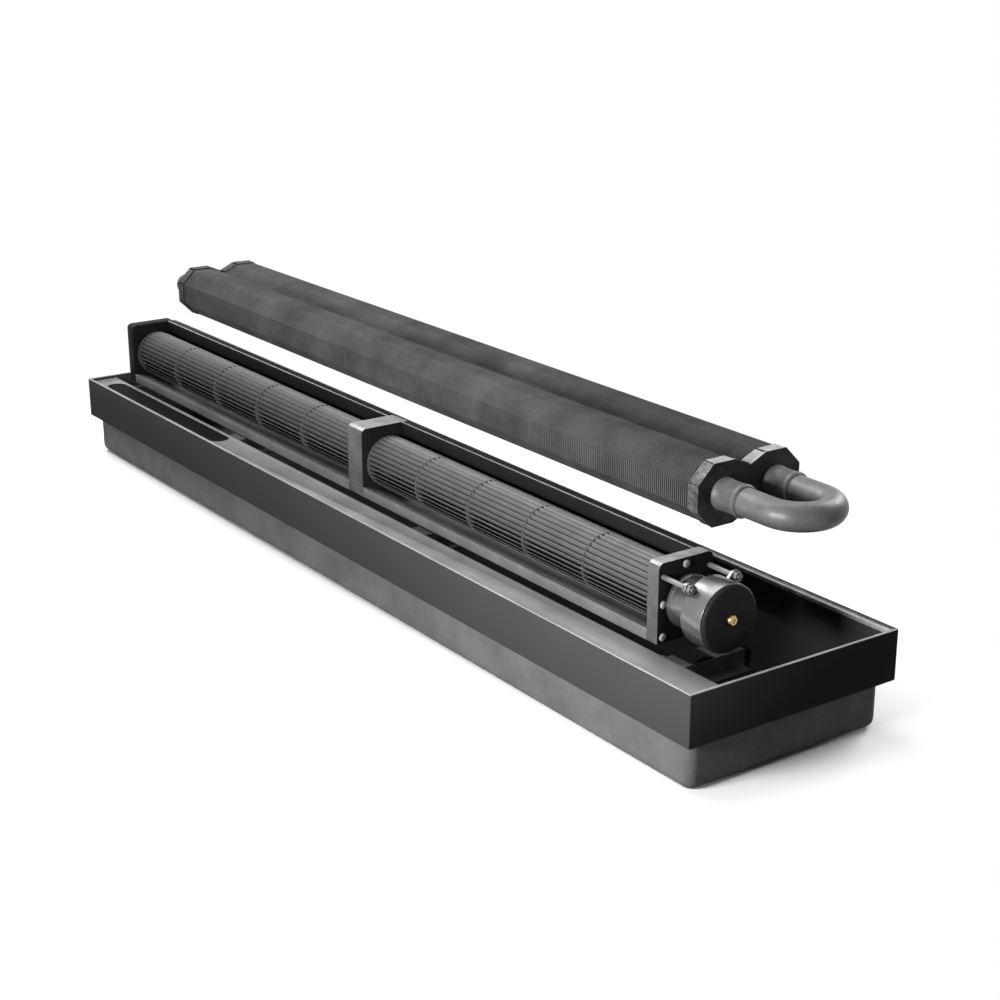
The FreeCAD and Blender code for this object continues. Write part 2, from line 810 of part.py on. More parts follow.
def bend_core(radius):
    """A solid rod along the line of the return bend: a leg, a half turn and a leg."""
    turn_x = tail_end + bend_leg
    front = rod_x(tail_end, turn_x, front_lobe_y, lobe_z, radius)
    rear = rod_x(tail_end, turn_x, rear_lobe_y, lobe_z, radius)
    section = Part.Face(Part.Wire(Part.makeCircle(radius, vec(turn_x, front_lobe_y, lobe_z), vec(1, 0, 0))))
    turn = section.revolve(vec(turn_x, middle_y, lobe_z), vec(0, 0, 1), 180)
    return front.fuse(turn).fuse(rear)


def make_bend():
    """The return bend, hollow right through."""
    return bend_core(pipe_radius).cut(bend_core(pipe_radius - pipe_wall))


def make_nipple(lobe_y):
    """A threaded connection: a hexagon over the pipe's end and a male thread beyond it."""
    hexagon = hex_x(stub_end, stub_end + nipple_hex_length, lobe_y, lobe_z, nipple_hex_flats)
    hexagon = hexagon.cut(
        rod_x(stub_end, stub_end + nipple_hex_length + 1, lobe_y, lobe_z, pipe_radius)
    )
    collar = hex_x(stub_end - nipple_hex_length / 3, stub_end, lobe_y, lobe_z, nipple_hex_flats)
    thread = rod_x(stub_end - nipple_length, stub_end, lobe_y, lobe_z, nipple_radius)
    nipple = fuse_all([hexagon, collar, thread])
    return nipple.cut(rod_x(stub_end - nipple_length - 1, stub_end + 1, lobe_y, lobe_z, nipple_bore))


def vent_x():
    return fin_stack_left - end_plate_sheet - vent_stub_position


def make_vent_body():
    """The air vent's body on top of the rear pipe, shaped to it, with a bore for its screw."""
    x = vent_x()
    top = lobe_z + pipe_radius + vent_height
    body = rod_z(lobe_z, top, x, rear_lobe_y, vent_radius)
    body = body.cut(rod_x(stub_end, fin_stack_left, rear_lobe_y, lobe_z, pipe_radius))
    bore = rod_z(top - vent_screw_depth, top + 1, x, rear_lobe_y, vent_screw_radius + vent_screw_fit)
    return body.cut(bore)


def make_vent_screw():
    x = vent_x()
    top = lobe_z + pipe_radius + vent_height
    start = top - vent_screw_depth + vent_screw_fit
    stem = rod_z(start, top + vent_screw_fit, x, rear_lobe_y, vent_screw_radius)
    head = rod_z(
        top + vent_screw_fit, top + vent_screw_fit + vent_head_height, x, rear_lobe_y, vent_head_radius
    )
    slot = box(
        x - vent_head_radius,
        x + vent_head_radius,
        rear_lobe_y - sheet / 3,
        rear_lobe_y + sheet / 3,
        top + vent_head_height / 2,
        top + vent_head_height + 1,
    )
    return fuse_all([stem, head]).cut(slot)


def build_trough():
    tub_parts = ("floor", "front_wall", "rear_wall", "left_end", "right_end")
    for name, shape in zip(tub_parts, divide_tub(make_tub())):
        export("trough_" + name, shape)
    rails = mitred(rim_ring(), half_length, half_width, mitre_reach, trough_height)
    for name, rail in zip(("front", "rear", "left", "right"), rails):
        export("rim_" + name + "_rail", rail)
    export("rim_corner_keys", make_corner_keys())
    export("rear_cover_strip", make_rear_strip())
    export("front_deck", divide_deck(make_deck()))
    export("duct_partition", make_partition())
    export("terminal_tray", make_tray())
    export("terminal_lid", make_lid())
    export("terminal_block", make_terminal_block())
    export("pipe_grommets", [make_grommet(front_lobe_y), make_grommet(rear_lobe_y)])
    export("cable_gland", make_gland())
    export("cable_gland_nut", make_gland_nut())
    for name, x in zip(("left", "middle", "right"), saddle_places()):
        export("saddle_" + name, make_saddle(x))
    export("saddle_locators", [make_locator(x) for x in saddle_places()])
    export("fan_pads", [make_fan_pad(x, depth) for x, depth in plate_places()])


def build_fan():
    left = make_fan_plate(left_plate_x, left_plate_depth)
    export("fan_left_plate", left.cut(bearing_hole(left_web)))
    middle = make_fan_plate(middle_frame_x, middle_frame_depth)
    export("fan_middle_frame", middle.cut(bearing_hole(middle_web)))
    right = make_fan_plate(right_plate_x, right_plate_depth)
    export("fan_right_plate", right.cut(bearing_hole(right_web)))
    export("bearing_rubbers", [make_rubber(left_web), make_rubber(middle_web)])
    export("left_bearing_bush", make_bush(left_web))
    export("middle_bearing_bush", make_bush(middle_web))
    export("fan_left_scroll", make_scroll(left_web, middle_frame_x))
    export("fan_right_scroll", make_scroll(middle_web, right_plate_x))
    export("fan_left_tongue", make_tongue(left_web, middle_frame_x))
    export("fan_right_tongue", make_tongue(middle_web, right_plate_x))
    export("fan_plate_screws", make_plate_screws())
    export("motor_neck", make_motor_neck())
    export("motor_housing", make_motor_housing())
    export("motor_cap", make_motor_cap())
    export("motor_boss", make_motor_boss())
    export("motor_stator", make_stator())
    export("motor_rods", make_rods())
    export("motor_rod_nuts", make_rod_nuts())


def build_rotor():
    export("impeller_left", make_impeller(left_web, middle_frame_x))
    export("impeller_right", make_impeller(middle_web, right_plate_x))
    left_hub = left_web + impeller_end_gap + hub_length
    export("left_axle", make_axle(left_web - rubber_length - 1, left_hub))
    middle_start = middle_frame_x - impeller_end_gap - hub_length
    export("middle_shaft", make_axle(middle_start, middle_web + impeller_end_gap + hub_length))
    drive_start = right_plate_x - impeller_end_gap - hub_length
    export("drive_shaft", make_axle(drive_start, motor_end - shaft_fit))
    export("motor_rotor", make_motor_rotor())


def build_exchanger():
    export("fin_stack", make_fins())
    export("pipe_run", [make_pipe(front_lobe_y), make_pipe(rear_lobe_y), make_bend()])
    export("pipe_sockets", make_sockets())
    export("exchanger_left_plate", make_end_plate(fin_stack_left, 1))
    export("exchanger_right_plate", make_end_plate(fin_stack_right, -1))
    export("front_nipple", make_nipple(front_lobe_y))
    export("rear_nipple", make_nipple(rear_lobe_y))
    export("vent_body", make_vent_body())
    export("vent_screw", make_vent_screw())


os.makedirs("parts", exist_ok=True)
build_trough()
build_fan()
build_rotor()
build_exchanger()
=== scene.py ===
"""Trench convector with its fan module and heat exchanger lifted out above the trough."""

import json
import logging
import math
from contextlib import contextmanager
from dataclasses import dataclass
from enum import Enum
from typing import Callable, Iterator, Sequence

import bmesh
import bpy
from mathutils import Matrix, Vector


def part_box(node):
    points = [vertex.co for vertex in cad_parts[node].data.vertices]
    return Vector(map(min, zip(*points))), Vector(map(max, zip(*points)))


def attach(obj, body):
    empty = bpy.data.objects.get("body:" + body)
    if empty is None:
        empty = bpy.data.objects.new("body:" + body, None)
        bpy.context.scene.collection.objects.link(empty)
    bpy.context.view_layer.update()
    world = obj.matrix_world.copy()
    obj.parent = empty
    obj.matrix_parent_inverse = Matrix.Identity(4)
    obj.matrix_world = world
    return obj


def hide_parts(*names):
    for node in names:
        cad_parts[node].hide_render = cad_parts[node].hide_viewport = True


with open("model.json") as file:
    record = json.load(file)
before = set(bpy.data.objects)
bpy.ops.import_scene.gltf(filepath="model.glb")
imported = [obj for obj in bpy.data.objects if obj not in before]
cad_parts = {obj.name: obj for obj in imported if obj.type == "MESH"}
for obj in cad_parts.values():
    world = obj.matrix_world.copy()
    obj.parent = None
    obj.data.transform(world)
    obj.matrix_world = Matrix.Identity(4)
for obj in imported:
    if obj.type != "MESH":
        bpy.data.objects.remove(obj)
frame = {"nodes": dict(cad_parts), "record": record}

log = logging.getLogger("trench_convector")
Place = tuple[float, float, float]
Colour = tuple[float, float, float]
Station = tuple[float, float]
Feed = dict[int | str, object]

# Points closer than this in metres are merged
MERGE = 0.00001
# A point this close in metres to a line or plane lies on it
NEAR = 0.0001
# Faces that meet at less than this many degrees are merged
FLAT = 0.5
# Half a side of a regular octagon, as a share of its inner radius
EIGHTH = math.tan(math.radians(22.5))
DUST_COLOUR = (0.36, 0.35, 0.33, 1.0)


class Axis(Enum):
    """The line about which a turned piece is made."""

    ALONG = "x"
    UPRIGHT = "z"

    def rotation(self) -> Place:
        """Returns the turn that lays a new ring across this line."""
        return (0.0, math.pi / 2, 0.0) if self is Axis.ALONG else (0.0, 0.0, 0.0)

    def step(self, distance: float) -> Place:
        """Returns a move of the given distance along this line."""
        return (distance, 0.0, 0.0) if self is Axis.ALONG else (0.0, 0.0, distance)

    def spread(self, factor: float) -> Place:
        """Returns the scale factors that widen a ring about this line."""
        return (1.0, factor, factor) if self is Axis.ALONG else (factor, factor, 1.0)


class Grain(Enum):
    """How the fine pattern of a finish runs: its stretch along X, Y and Z."""

    EVEN = (1.0, 1.0, 1.0)
    ROLLED = (0.06, 1.0, 1.0)
    BRUSHED = (0.012, 1.0, 1.0)
    TURNED = (1.0, 0.12, 0.12)


class Part(Enum):
    """What a mesh is selected by in edit mode, and its list of them."""

    FACE = "faces"
    EDGE = "edges"
    VERT = "verts"


# Working with pieces


def deselect() -> None:
    """Leaves nothing selected."""
    bpy.ops.object.select_all(action="DESELECT")


def take(piece: bpy.types.Object) -> None:
    """Makes one piece the only selected and the active one.

    Args:
        piece: The piece to work on.
    """
    deselect()
    piece.select_set(True)
    bpy.context.view_layer.objects.active = piece


@contextmanager
def editing(piece: bpy.types.Object, part: Part = Part.FACE) -> Iterator[None]:
    """Opens a piece in edit mode with all of it selected, and closes it again.

    Args:
        piece: The piece to edit.
        part: What it is selected by.
    """
    take(piece)
    bpy.ops.object.mode_set(mode="EDIT")
    bpy.ops.mesh.select_mode(type=part.name)
    pick_all()
    yield
    bpy.ops.object.mode_set(mode="OBJECT")


def pick_all() -> None:
    """Selects the whole mesh in edit mode."""
    bpy.ops.mesh.select_all(action="SELECT")


def pick(piece: bpy.types.Object, part: Part, test: Callable[..., bool]) -> None:
    """Selects the faces, edges or points that pass a test, in edit mode.

    Args:
        piece: The piece in edit mode.
        part: What is tested and selected.
        test: Takes a face's centre and normal, an edge's two ends or a point's place.
    """
    bpy.ops.mesh.select_mode(type=part.name)
    bpy.ops.mesh.select_all(action="DESELECT")
    mesh = bmesh.from_edit_mesh(piece.data)
    for item in getattr(mesh, part.value):
        if part is Part.FACE:
            item.select_set(test(item.calc_center_median(), item.normal))
        elif part is Part.EDGE:
            item.select_set(test(item.verts[0].co, item.verts[1].co))
        else:
            item.select_set(test(item.co))
    if part is Part.VERT:
        mesh.select_flush(True)
    bmesh.update_edit_mesh(piece.data)


def face_outwards() -> None:
    """Turns all faces of the mesh in edit mode outwards."""
    pick_all()
    bpy.ops.mesh.normals_make_consistent(inside=False)


def merge(flat: bool = False) -> None:
    """Merges the doubled points of the mesh in edit mode and turns its faces outwards.

    Args:
        flat: Whether faces that lie in one plane are merged too.
    """
    pick_all()
    bpy.ops.mesh.remove_doubles(threshold=MERGE)
    if flat:
        bpy.ops.mesh.dissolve_limited(angle_limit=math.radians(FLAT))
    face_outwards()


def draw_out(step: Sequence[float]) -> None:
    """Extrudes what is selected in edit mode.

    Args:
        step: How far the new end moves.
    """
    bpy.ops.mesh.extrude_region_move(TRANSFORM_OT_translate={"value": step})


def settle(piece: bpy.types.Object) -> None:
    """Puts a piece's place, turn and size into its mesh.

    Args:
        piece: The piece to settle.
    """
    take(piece)
    bpy.ops.object.transform_apply(location=True, rotation=True, scale=True)


def named(name: str) -> bpy.types.Object:
    """Names the piece that was just added.

    Args:
        name: The piece's name.

    Returns:
        The piece, settled at the origin.
    """
    piece = bpy.context.active_object
    piece.name = name
    piece.data.name = name
    settle(piece)
    return piece


def block(name: str, low: Sequence[float], high: Sequence[float]) -> bpy.types.Object:
    """Adds a block between two corners, the start of a piece.

    Args:
        name: The piece's name.
        low: Its lowest corner.
        high: Its highest corner.

    Returns:
        The block.
    """
    deselect()
    low, high = Vector(low), Vector(high)
    bpy.ops.mesh.primitive_cube_add(size=1.0, location=(low + high) / 2, scale=high - low)
    return named(name)


def ring(
    name: str, centre: Vector, radius: float, sides: int, axis: Axis = Axis.ALONG
) -> bpy.types.Object:
    """Adds an open ring, the start of a turned or drawn piece.

    Args:
        name: The piece's name.
        centre: The ring's centre.
        radius: Its radius.
        sides: How many sides it has.
        axis: The line that it lies across.

    Returns:
        The ring.
    """
    deselect()
    bpy.ops.mesh.primitive_circle_add(
        vertices=sides, radius=radius, fill_type="NOTHING", location=centre, rotation=axis.rotation()
    )
    return named(name)


def turned(
    name: str,
    place: Sequence[float],
    stations: Sequence[Station],
    axis: Axis = Axis.ALONG,
    sides: int = 48,
    hollow: bool = False,
) -> bpy.types.Object:
    """Turns a piece: a ring drawn out and resized from station to station.

    Args:
        name: The piece's name.
        place: A point on the turning line.
        stations: Distance along the line from the place, and radius there, in turn.
        axis: The turning line.
        sides: How many sides a ring has.
        hollow: Whether the last station closes on the first, which leaves a bore.

    Returns:
        The turned piece.
    """
    start, radius = stations[0]
    piece = ring(name, Vector(place) + Vector(axis.step(start)), radius, sides, axis)
    with editing(piece, Part.EDGE):
        for (old, old_radius), (new, new_radius) in zip(stations, stations[1:]):
            draw_out(axis.step(new - old))
            centre = Vector(place) + Vector(axis.step(new))
            bpy.ops.transform.resize(
                value=axis.spread(new_radius / old_radius), center_override=centre
            )
        if hollow:
            merge()
        else:
            pick_all()
            bpy.ops.mesh.fill_holes(sides=0)
            face_outwards()
    return piece


def modify(piece: bpy.types.Object, kind: str, **values: object) -> None:
    """Adds a modifier and applies it.

    Args:
        piece: The piece to change.
        kind: The modifier's type.
        values: Its settings.
    """
    take(piece)
    modifier = piece.modifiers.new(kind.title(), kind)
    for key, value in values.items():
        setattr(modifier, key, value)
    bpy.ops.object.modifier_apply(modifier=modifier.name)


def soften(piece: bpy.types.Object, width: float, segments: int = 2, angle: float = 30.0) -> None:
    """Rounds the sharp edges of a piece and shades it smooth up to the given angle.

    Args:
        piece: The piece to round.
        width: The rounding's width in metres.
        segments: How many faces the rounding has across.
        angle: Edges sharper than this many degrees are rounded.
    """
    modify(
        piece, "BEVEL", width=width, segments=segments, limit_method="ANGLE",
        angle_limit=math.radians(angle), use_clamp_overlap=True, harden_normals=False,
    )
    smooth(piece, 32.0)


def smooth(piece: bpy.types.Object, angle: float = 40.0) -> None:
    """Shades a piece smooth where its faces meet at less than the given angle.

    Args:
        piece: The piece to shade.
        angle: The limit in degrees.
    """
    take(piece)
    bpy.ops.object.shade_smooth_by_angle(angle=math.radians(angle))


def cut(piece: bpy.types.Object, cutters: Sequence[bpy.types.Object]) -> None:
    """Cuts other shapes out of a piece and removes them.

    Args:
        piece: The piece to cut.
        cutters: The shapes that are cut out.
    """
    for cutter in cutters:
        modify(piece, "BOOLEAN", operation="DIFFERENCE", solver="EXACT", object=cutter)
        bpy.data.objects.remove(cutter, do_unlink=True)


def split(piece: bpy.types.Object, place: Place, across: Place) -> None:
    """Draws a line round a piece, so that the faces on its two sides can differ.

    Args:
        piece: The piece.
        place: A point of the plane in which the line lies.
        across: The plane's normal.
    """
    with editing(piece):
        bpy.ops.mesh.bisect(plane_co=place, plane_no=across)


def joined(name: str, pieces: Sequence[bpy.types.Object]) -> bpy.types.Object:
    """Joins separate shapes into one piece.

    Args:
        name: The joined piece's name.
        pieces: The shapes to join.

    Returns:
        The joined piece.
    """
    deselect()
    for piece in pieces:
        piece.select_set(True)
    bpy.context.view_layer.objects.active = pieces[0]
    if len(pieces) > 1:
        bpy.ops.object.join()
    return named(name)


def taken_up(node: str, name: str) -> bpy.types.Object:
    """Copies a node of the frame and merges the copy's loose faces.

    Args:
        node: The node to copy.
        name: The copy's name.

    Returns:
        The merged copy, free of the frame.
    """
    source = frame["nodes"][node]
    piece = bpy.data.objects.new(name, source.data.copy())
    piece.data.name = name
    bpy.context.scene.collection.objects.link(piece)
    with editing(piece, Part.VERT):
        merge(flat=True)
    return piece


def middle(node: str) -> Vector:
    """Finds the middle of a node's box.

    Args:
        node: The node's name.

    Returns:
        The middle.
    """
    low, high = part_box(node)
    return (low + high) / 2


def body_of(node: str) -> str:
    """Finds the body that a node belongs to.

    Args:
        node: The node's name.

    Returns:
        The body's name.
    """
    bodies = frame["record"]["behaviour"]["bodies"]
    return next(body for body, nodes in bodies.items() if node in nodes)


# Node groups shared by the finishes


class Bench:
    """Adds and links the nodes of one tree."""

    def __init__(self, tree: bpy.types.NodeTree) -> None:
        """Takes the tree to work on.

        Args:
            tree: A material's, world's or group's node tree.
        """
        self.tree = tree

    @classmethod
    def cleared(cls, owner: bpy.types.Material | bpy.types.World) -> "Bench":
        """Opens the emptied tree of a material or world.

        Args:
            owner: The material or world.

        Returns:
            The bench for its tree.
        """
        owner.use_nodes = True
        owner.node_tree.nodes.clear()
        return cls(owner.node_tree)

    def add(self, kind: str, inputs: Feed | None = None, **settings: object) -> bpy.types.Node:
        """Adds a node and feeds it.

        Args:
            kind: The node's type name.
            inputs: A value or another node's output for each input, by its name or number.
            settings: Properties of the node.

        Returns:
            The node.
        """
        node = self.tree.nodes.new(kind)
        node.location = (180.0 * len(self.tree.nodes), 0.0)
        for key, value in settings.items():
            setattr(node, key, value)
        self.feed(node, inputs or {})
        return node

    def feed(self, node: bpy.types.Node, inputs: Feed) -> None:
        """Sets inputs to values, or links other nodes' outputs to them.

        Args:
            node: The node that is fed.
            inputs: A number, colour, vector or output for each input.
        """
        for socket, value in inputs.items():
            if isinstance(value, bpy.types.NodeSocket):
                self.tree.links.new(value, node.inputs[socket])
            else:
                node.inputs[socket].default_value = value

    def sum_up(self, operation: str, *values: object, clamp: bool = False) -> bpy.types.NodeSocket:
        """Adds a maths node.

        Args:
            operation: The operation's name.
            values: Its numbers or outputs.
            clamp: Whether the result is kept between 0 and 1.

        Returns:
            The result's output.
        """
        inputs = dict(enumerate(values))
        node = self.add("ShaderNodeMath", inputs, operation=operation, use_clamp=clamp)
        return node.outputs[0]

    def stretched(self, vector: object, factors: object) -> bpy.types.NodeSocket:
        """Multiplies a vector with another.

        Args:
            vector: The vector's output.
            factors: The factors along X, Y and Z.

        Returns:
            The stretched vector.
        """
        inputs = {0: vector, 1: factors}
        return self.add("ShaderNodeVectorMath", inputs, operation="MULTIPLY").outputs[0]

    def noise(self, vector: object, scale: object, detail: float, rough: float) -> bpy.types.NodeSocket:
        """Adds a noise node.

        Args:
            vector: The place that the noise is read at.
            scale: How fine it is.
            detail: How many finer layers it has.
            rough: How strong those layers are.

        Returns:
            The noise's value, about 0.5 on average.
        """
        inputs = {"Vector": vector, "Scale": scale, "Detail": detail, "Roughness": rough}
        return self.add("ShaderNodeTexNoise", inputs).outputs[0]

    def spread(self, value: object, low: object, high: object) -> bpy.types.NodeSocket:
        """Spreads a value between two limits to 0 and 1.

        Args:
            value: The value to spread.
            low: What becomes 0.
            high: What becomes 1.

        Returns:
            The spread value.
        """
        return self.add("ShaderNodeMapRange", {0: value, 1: low, 2: high}).outputs[0]

    def blend(self, share: object, first: object, second: object) -> bpy.types.NodeSocket:
        """Mixes two colours.

        Args:
            share: How much of the second there is.
            first: The first colour or output.
            second: The second colour or output.

        Returns:
            The mixed colour.
        """
        inputs = {0: share, 6: first, 7: second}
        return self.add("ShaderNodeMix", inputs, data_type="RGBA").outputs[2]


class Effects:
    """The node groups that the finishes share."""

    def new_group(
        self, name: str, inputs: Sequence[tuple[str, str, object]], outputs: Sequence[str]
    ) -> tuple[Bench, bpy.types.NodeOutputs, bpy.types.Node]:
        """Starts a group with its sockets.

        Args:
            name: The group's name.
            inputs: Name, socket type and default of each input.
            outputs: Names of the value outputs.

        Returns:
            The group's bench, what comes in and the node that it goes out by.
        """
        group = bpy.data.node_groups.new(name, "ShaderNodeTree")
        for label, kind, default in inputs:
            socket = group.interface.new_socket(label, in_out="INPUT", socket_type=f"NodeSocket{kind}")
            if default is not None:
                socket.default_value = default
        for label in outputs:
            group.interface.new_socket(label, in_out="OUTPUT", socket_type="NodeSocketFloat")
        source = group.nodes.new("NodeGroupInput")
        return Bench(group), source.outputs, group.nodes.new("NodeGroupOutput")

    def build(self) -> dict[str, bpy.types.NodeTree]:
        """Builds every group once.

        Returns:
            The groups by name.
        """
        return {"grain": self.grain(), "clouds": self.clouds(), "dust": self.dust()}

    def grain(self) -> bpy.types.NodeTree:
        """Builds the fine pattern: stretched noise in two sizes."""
        bench, source, result = self.new_group(
            "fine_grain",
            [
                ("Vector", "Vector", None),
                ("Stretch", "Vector", (1.0, 1.0, 1.0)),
                ("Fineness", "Float", 800.0),
            ],
            ["Grain", "Height"],
        )
        stretch = bench.stretched(source["Vector"], source["Stretch"])
        fine = bench.noise(stretch, source["Fineness"], 4.0, 0.6)
        coarse = bench.noise(stretch, bench.sum_up("MULTIPLY", source["Fineness"], 0.28), 2.0, 0.5)
        both = bench.sum_up("MULTIPLY_ADD", fine, 0.62, bench.sum_up("MULTIPLY", coarse, 0.38))
        bench.feed(result, {"Grain": bench.spread(both, 0.32, 0.68), "Height": fine})
        return bench.tree

    def clouds(self) -> bpy.types.NodeTree:
        """Builds the large uneven patches of a rolled, coated or handled surface."""
        bench, source, result = self.new_group(
            "soft_clouds",
            [
                ("Vector", "Vector", None),
                ("Size", "Float", 0.05),
                ("Low", "Float", 0.36),
                ("High", "Float", 0.64),
            ],
            ["Clouds", "Smears"],
        )
        scale = bench.sum_up("DIVIDE", 1.0, source["Size"])
        large = bench.noise(source["Vector"], scale, 5.0, 0.62)
        drawn = bench.stretched(source["Vector"], (0.35, 1.0, 1.6))
        smears = bench.noise(drawn, bench.sum_up("MULTIPLY", scale, 2.6), 3.0, 0.7)
        clouds = bench.spread(large, source["Low"], source["High"])
        bench.feed(result, {"Clouds": clouds, "Smears": bench.spread(smears, 0.46, 0.72)})
        return bench.tree

    def dust(self) -> bpy.types.NodeTree:
        """Builds the thin dust that lies on faces that look up."""
        bench, source, result = self.new_group(
            "lying_dust",
            [("Vector", "Vector", None), ("Normal", "Vector", None), ("Amount", "Float", 0.2)],
            ["Dust"],
        )
        parts = bench.add("ShaderNodeSeparateXYZ", {0: source["Normal"]})
        upward = bench.spread(parts.outputs[2], 0.35, 1.0)
        patchy = bench.spread(bench.noise(source["Vector"], 55.0, 6.0, 0.7), 0.35, 0.75)
        dust = bench.sum_up("MULTIPLY", upward, patchy)
        bench.feed(result, {"Dust": bench.sum_up("MULTIPLY", dust, source["Amount"])})
        return bench.tree


@dataclass(frozen=True)
class Finish:
    """One finish: its colours, sheen and fine relief.

    Attributes:
        slot: Its name, which is the record's material slot where the record has one.
        colour: The main colour.
        shade: The colour of its darker or duller patches.
        metallic: How metallic it is.
        roughness: Its mean roughness.
        uneven: How much the roughness changes over the surface, down and up.
        grain: How the fine pattern runs.
        fineness: How fine the pattern is.
        grain_share: How much the fine pattern shows in the colour.
        cloud_size: The size of the patches in metres.
        cloud_share: How much the patches show in the colour.
        relief: Strength of the fine relief.
        relief_depth: Its depth in metres.
        dust: How much dust lies on its upper faces.
        specular: The specular level.
        coat: The weight of a clear coat.
    """

    slot: str
    colour: Colour
    shade: Colour
    metallic: float = 0.0
    roughness: float = 0.5
    uneven: float = 0.12
    grain: Grain = Grain.EVEN
    fineness: float = 700.0
    grain_share: float = 0.3
    cloud_size: float = 0.02
    cloud_share: float = 0.4
    relief: float = 0.15
    relief_depth: float = 0.0001
    dust: float = 0.0
    specular: float = 0.2
    coat: float = 0.0

    def material(self, effects: dict[str, bpy.types.NodeTree]) -> bpy.types.Material:
        """Builds the material.

        Args:
            effects: The shared node groups.

        Returns:
            The material.
        """
        material = bpy.data.materials.new(self.slot)
        bench = Bench.cleared(material)
        place = bench.add("ShaderNodeTexCoord").outputs
        grain = bench.add(
            "ShaderNodeGroup",
            {"Vector": place["Object"], "Stretch": self.grain.value, "Fineness": self.fineness},
            node_tree=effects["grain"],
        ).outputs
        clouds = bench.add(
            "ShaderNodeGroup",
            {"Vector": place["Object"], "Size": self.cloud_size},
            node_tree=effects["clouds"],
        ).outputs
        dust = bench.add(
            "ShaderNodeGroup",
            {"Vector": place["Object"], "Normal": place["Normal"], "Amount": self.dust},
            node_tree=effects["dust"],
        ).outputs
        patch = bench.sum_up("MULTIPLY", clouds["Clouds"], self.cloud_share)
        lines = bench.sum_up("MULTIPLY", grain["Grain"], self.grain_share)
        share = bench.sum_up("ADD", patch, lines, clamp=True)
        colour = bench.blend(share, (*self.colour, 1.0), (*self.shade, 1.0))
        colour = bench.blend(dust["Dust"], colour, DUST_COLOUR)
        low = self.roughness - self.uneven
        spread = bench.sum_up("MULTIPLY_ADD", grain["Grain"], self.uneven, low)
        rough = bench.sum_up("MULTIPLY_ADD", clouds["Smears"], self.uneven, spread, clamp=True)
        height = {"Height": grain["Height"], "Strength": self.relief, "Distance": self.relief_depth}
        shader = bench.add(
            "ShaderNodeBsdfPrincipled",
            {
                "Base Color": colour,
                "Roughness": rough,
                "Normal": bench.add("ShaderNodeBump", height).outputs[0],
                "Metallic": self.metallic,
                "Specular IOR Level": self.specular,
                "Coat Weight": self.coat,
            },
        )
        bench.add("ShaderNodeOutputMaterial", {"Surface": shader.outputs[0]})
        return material


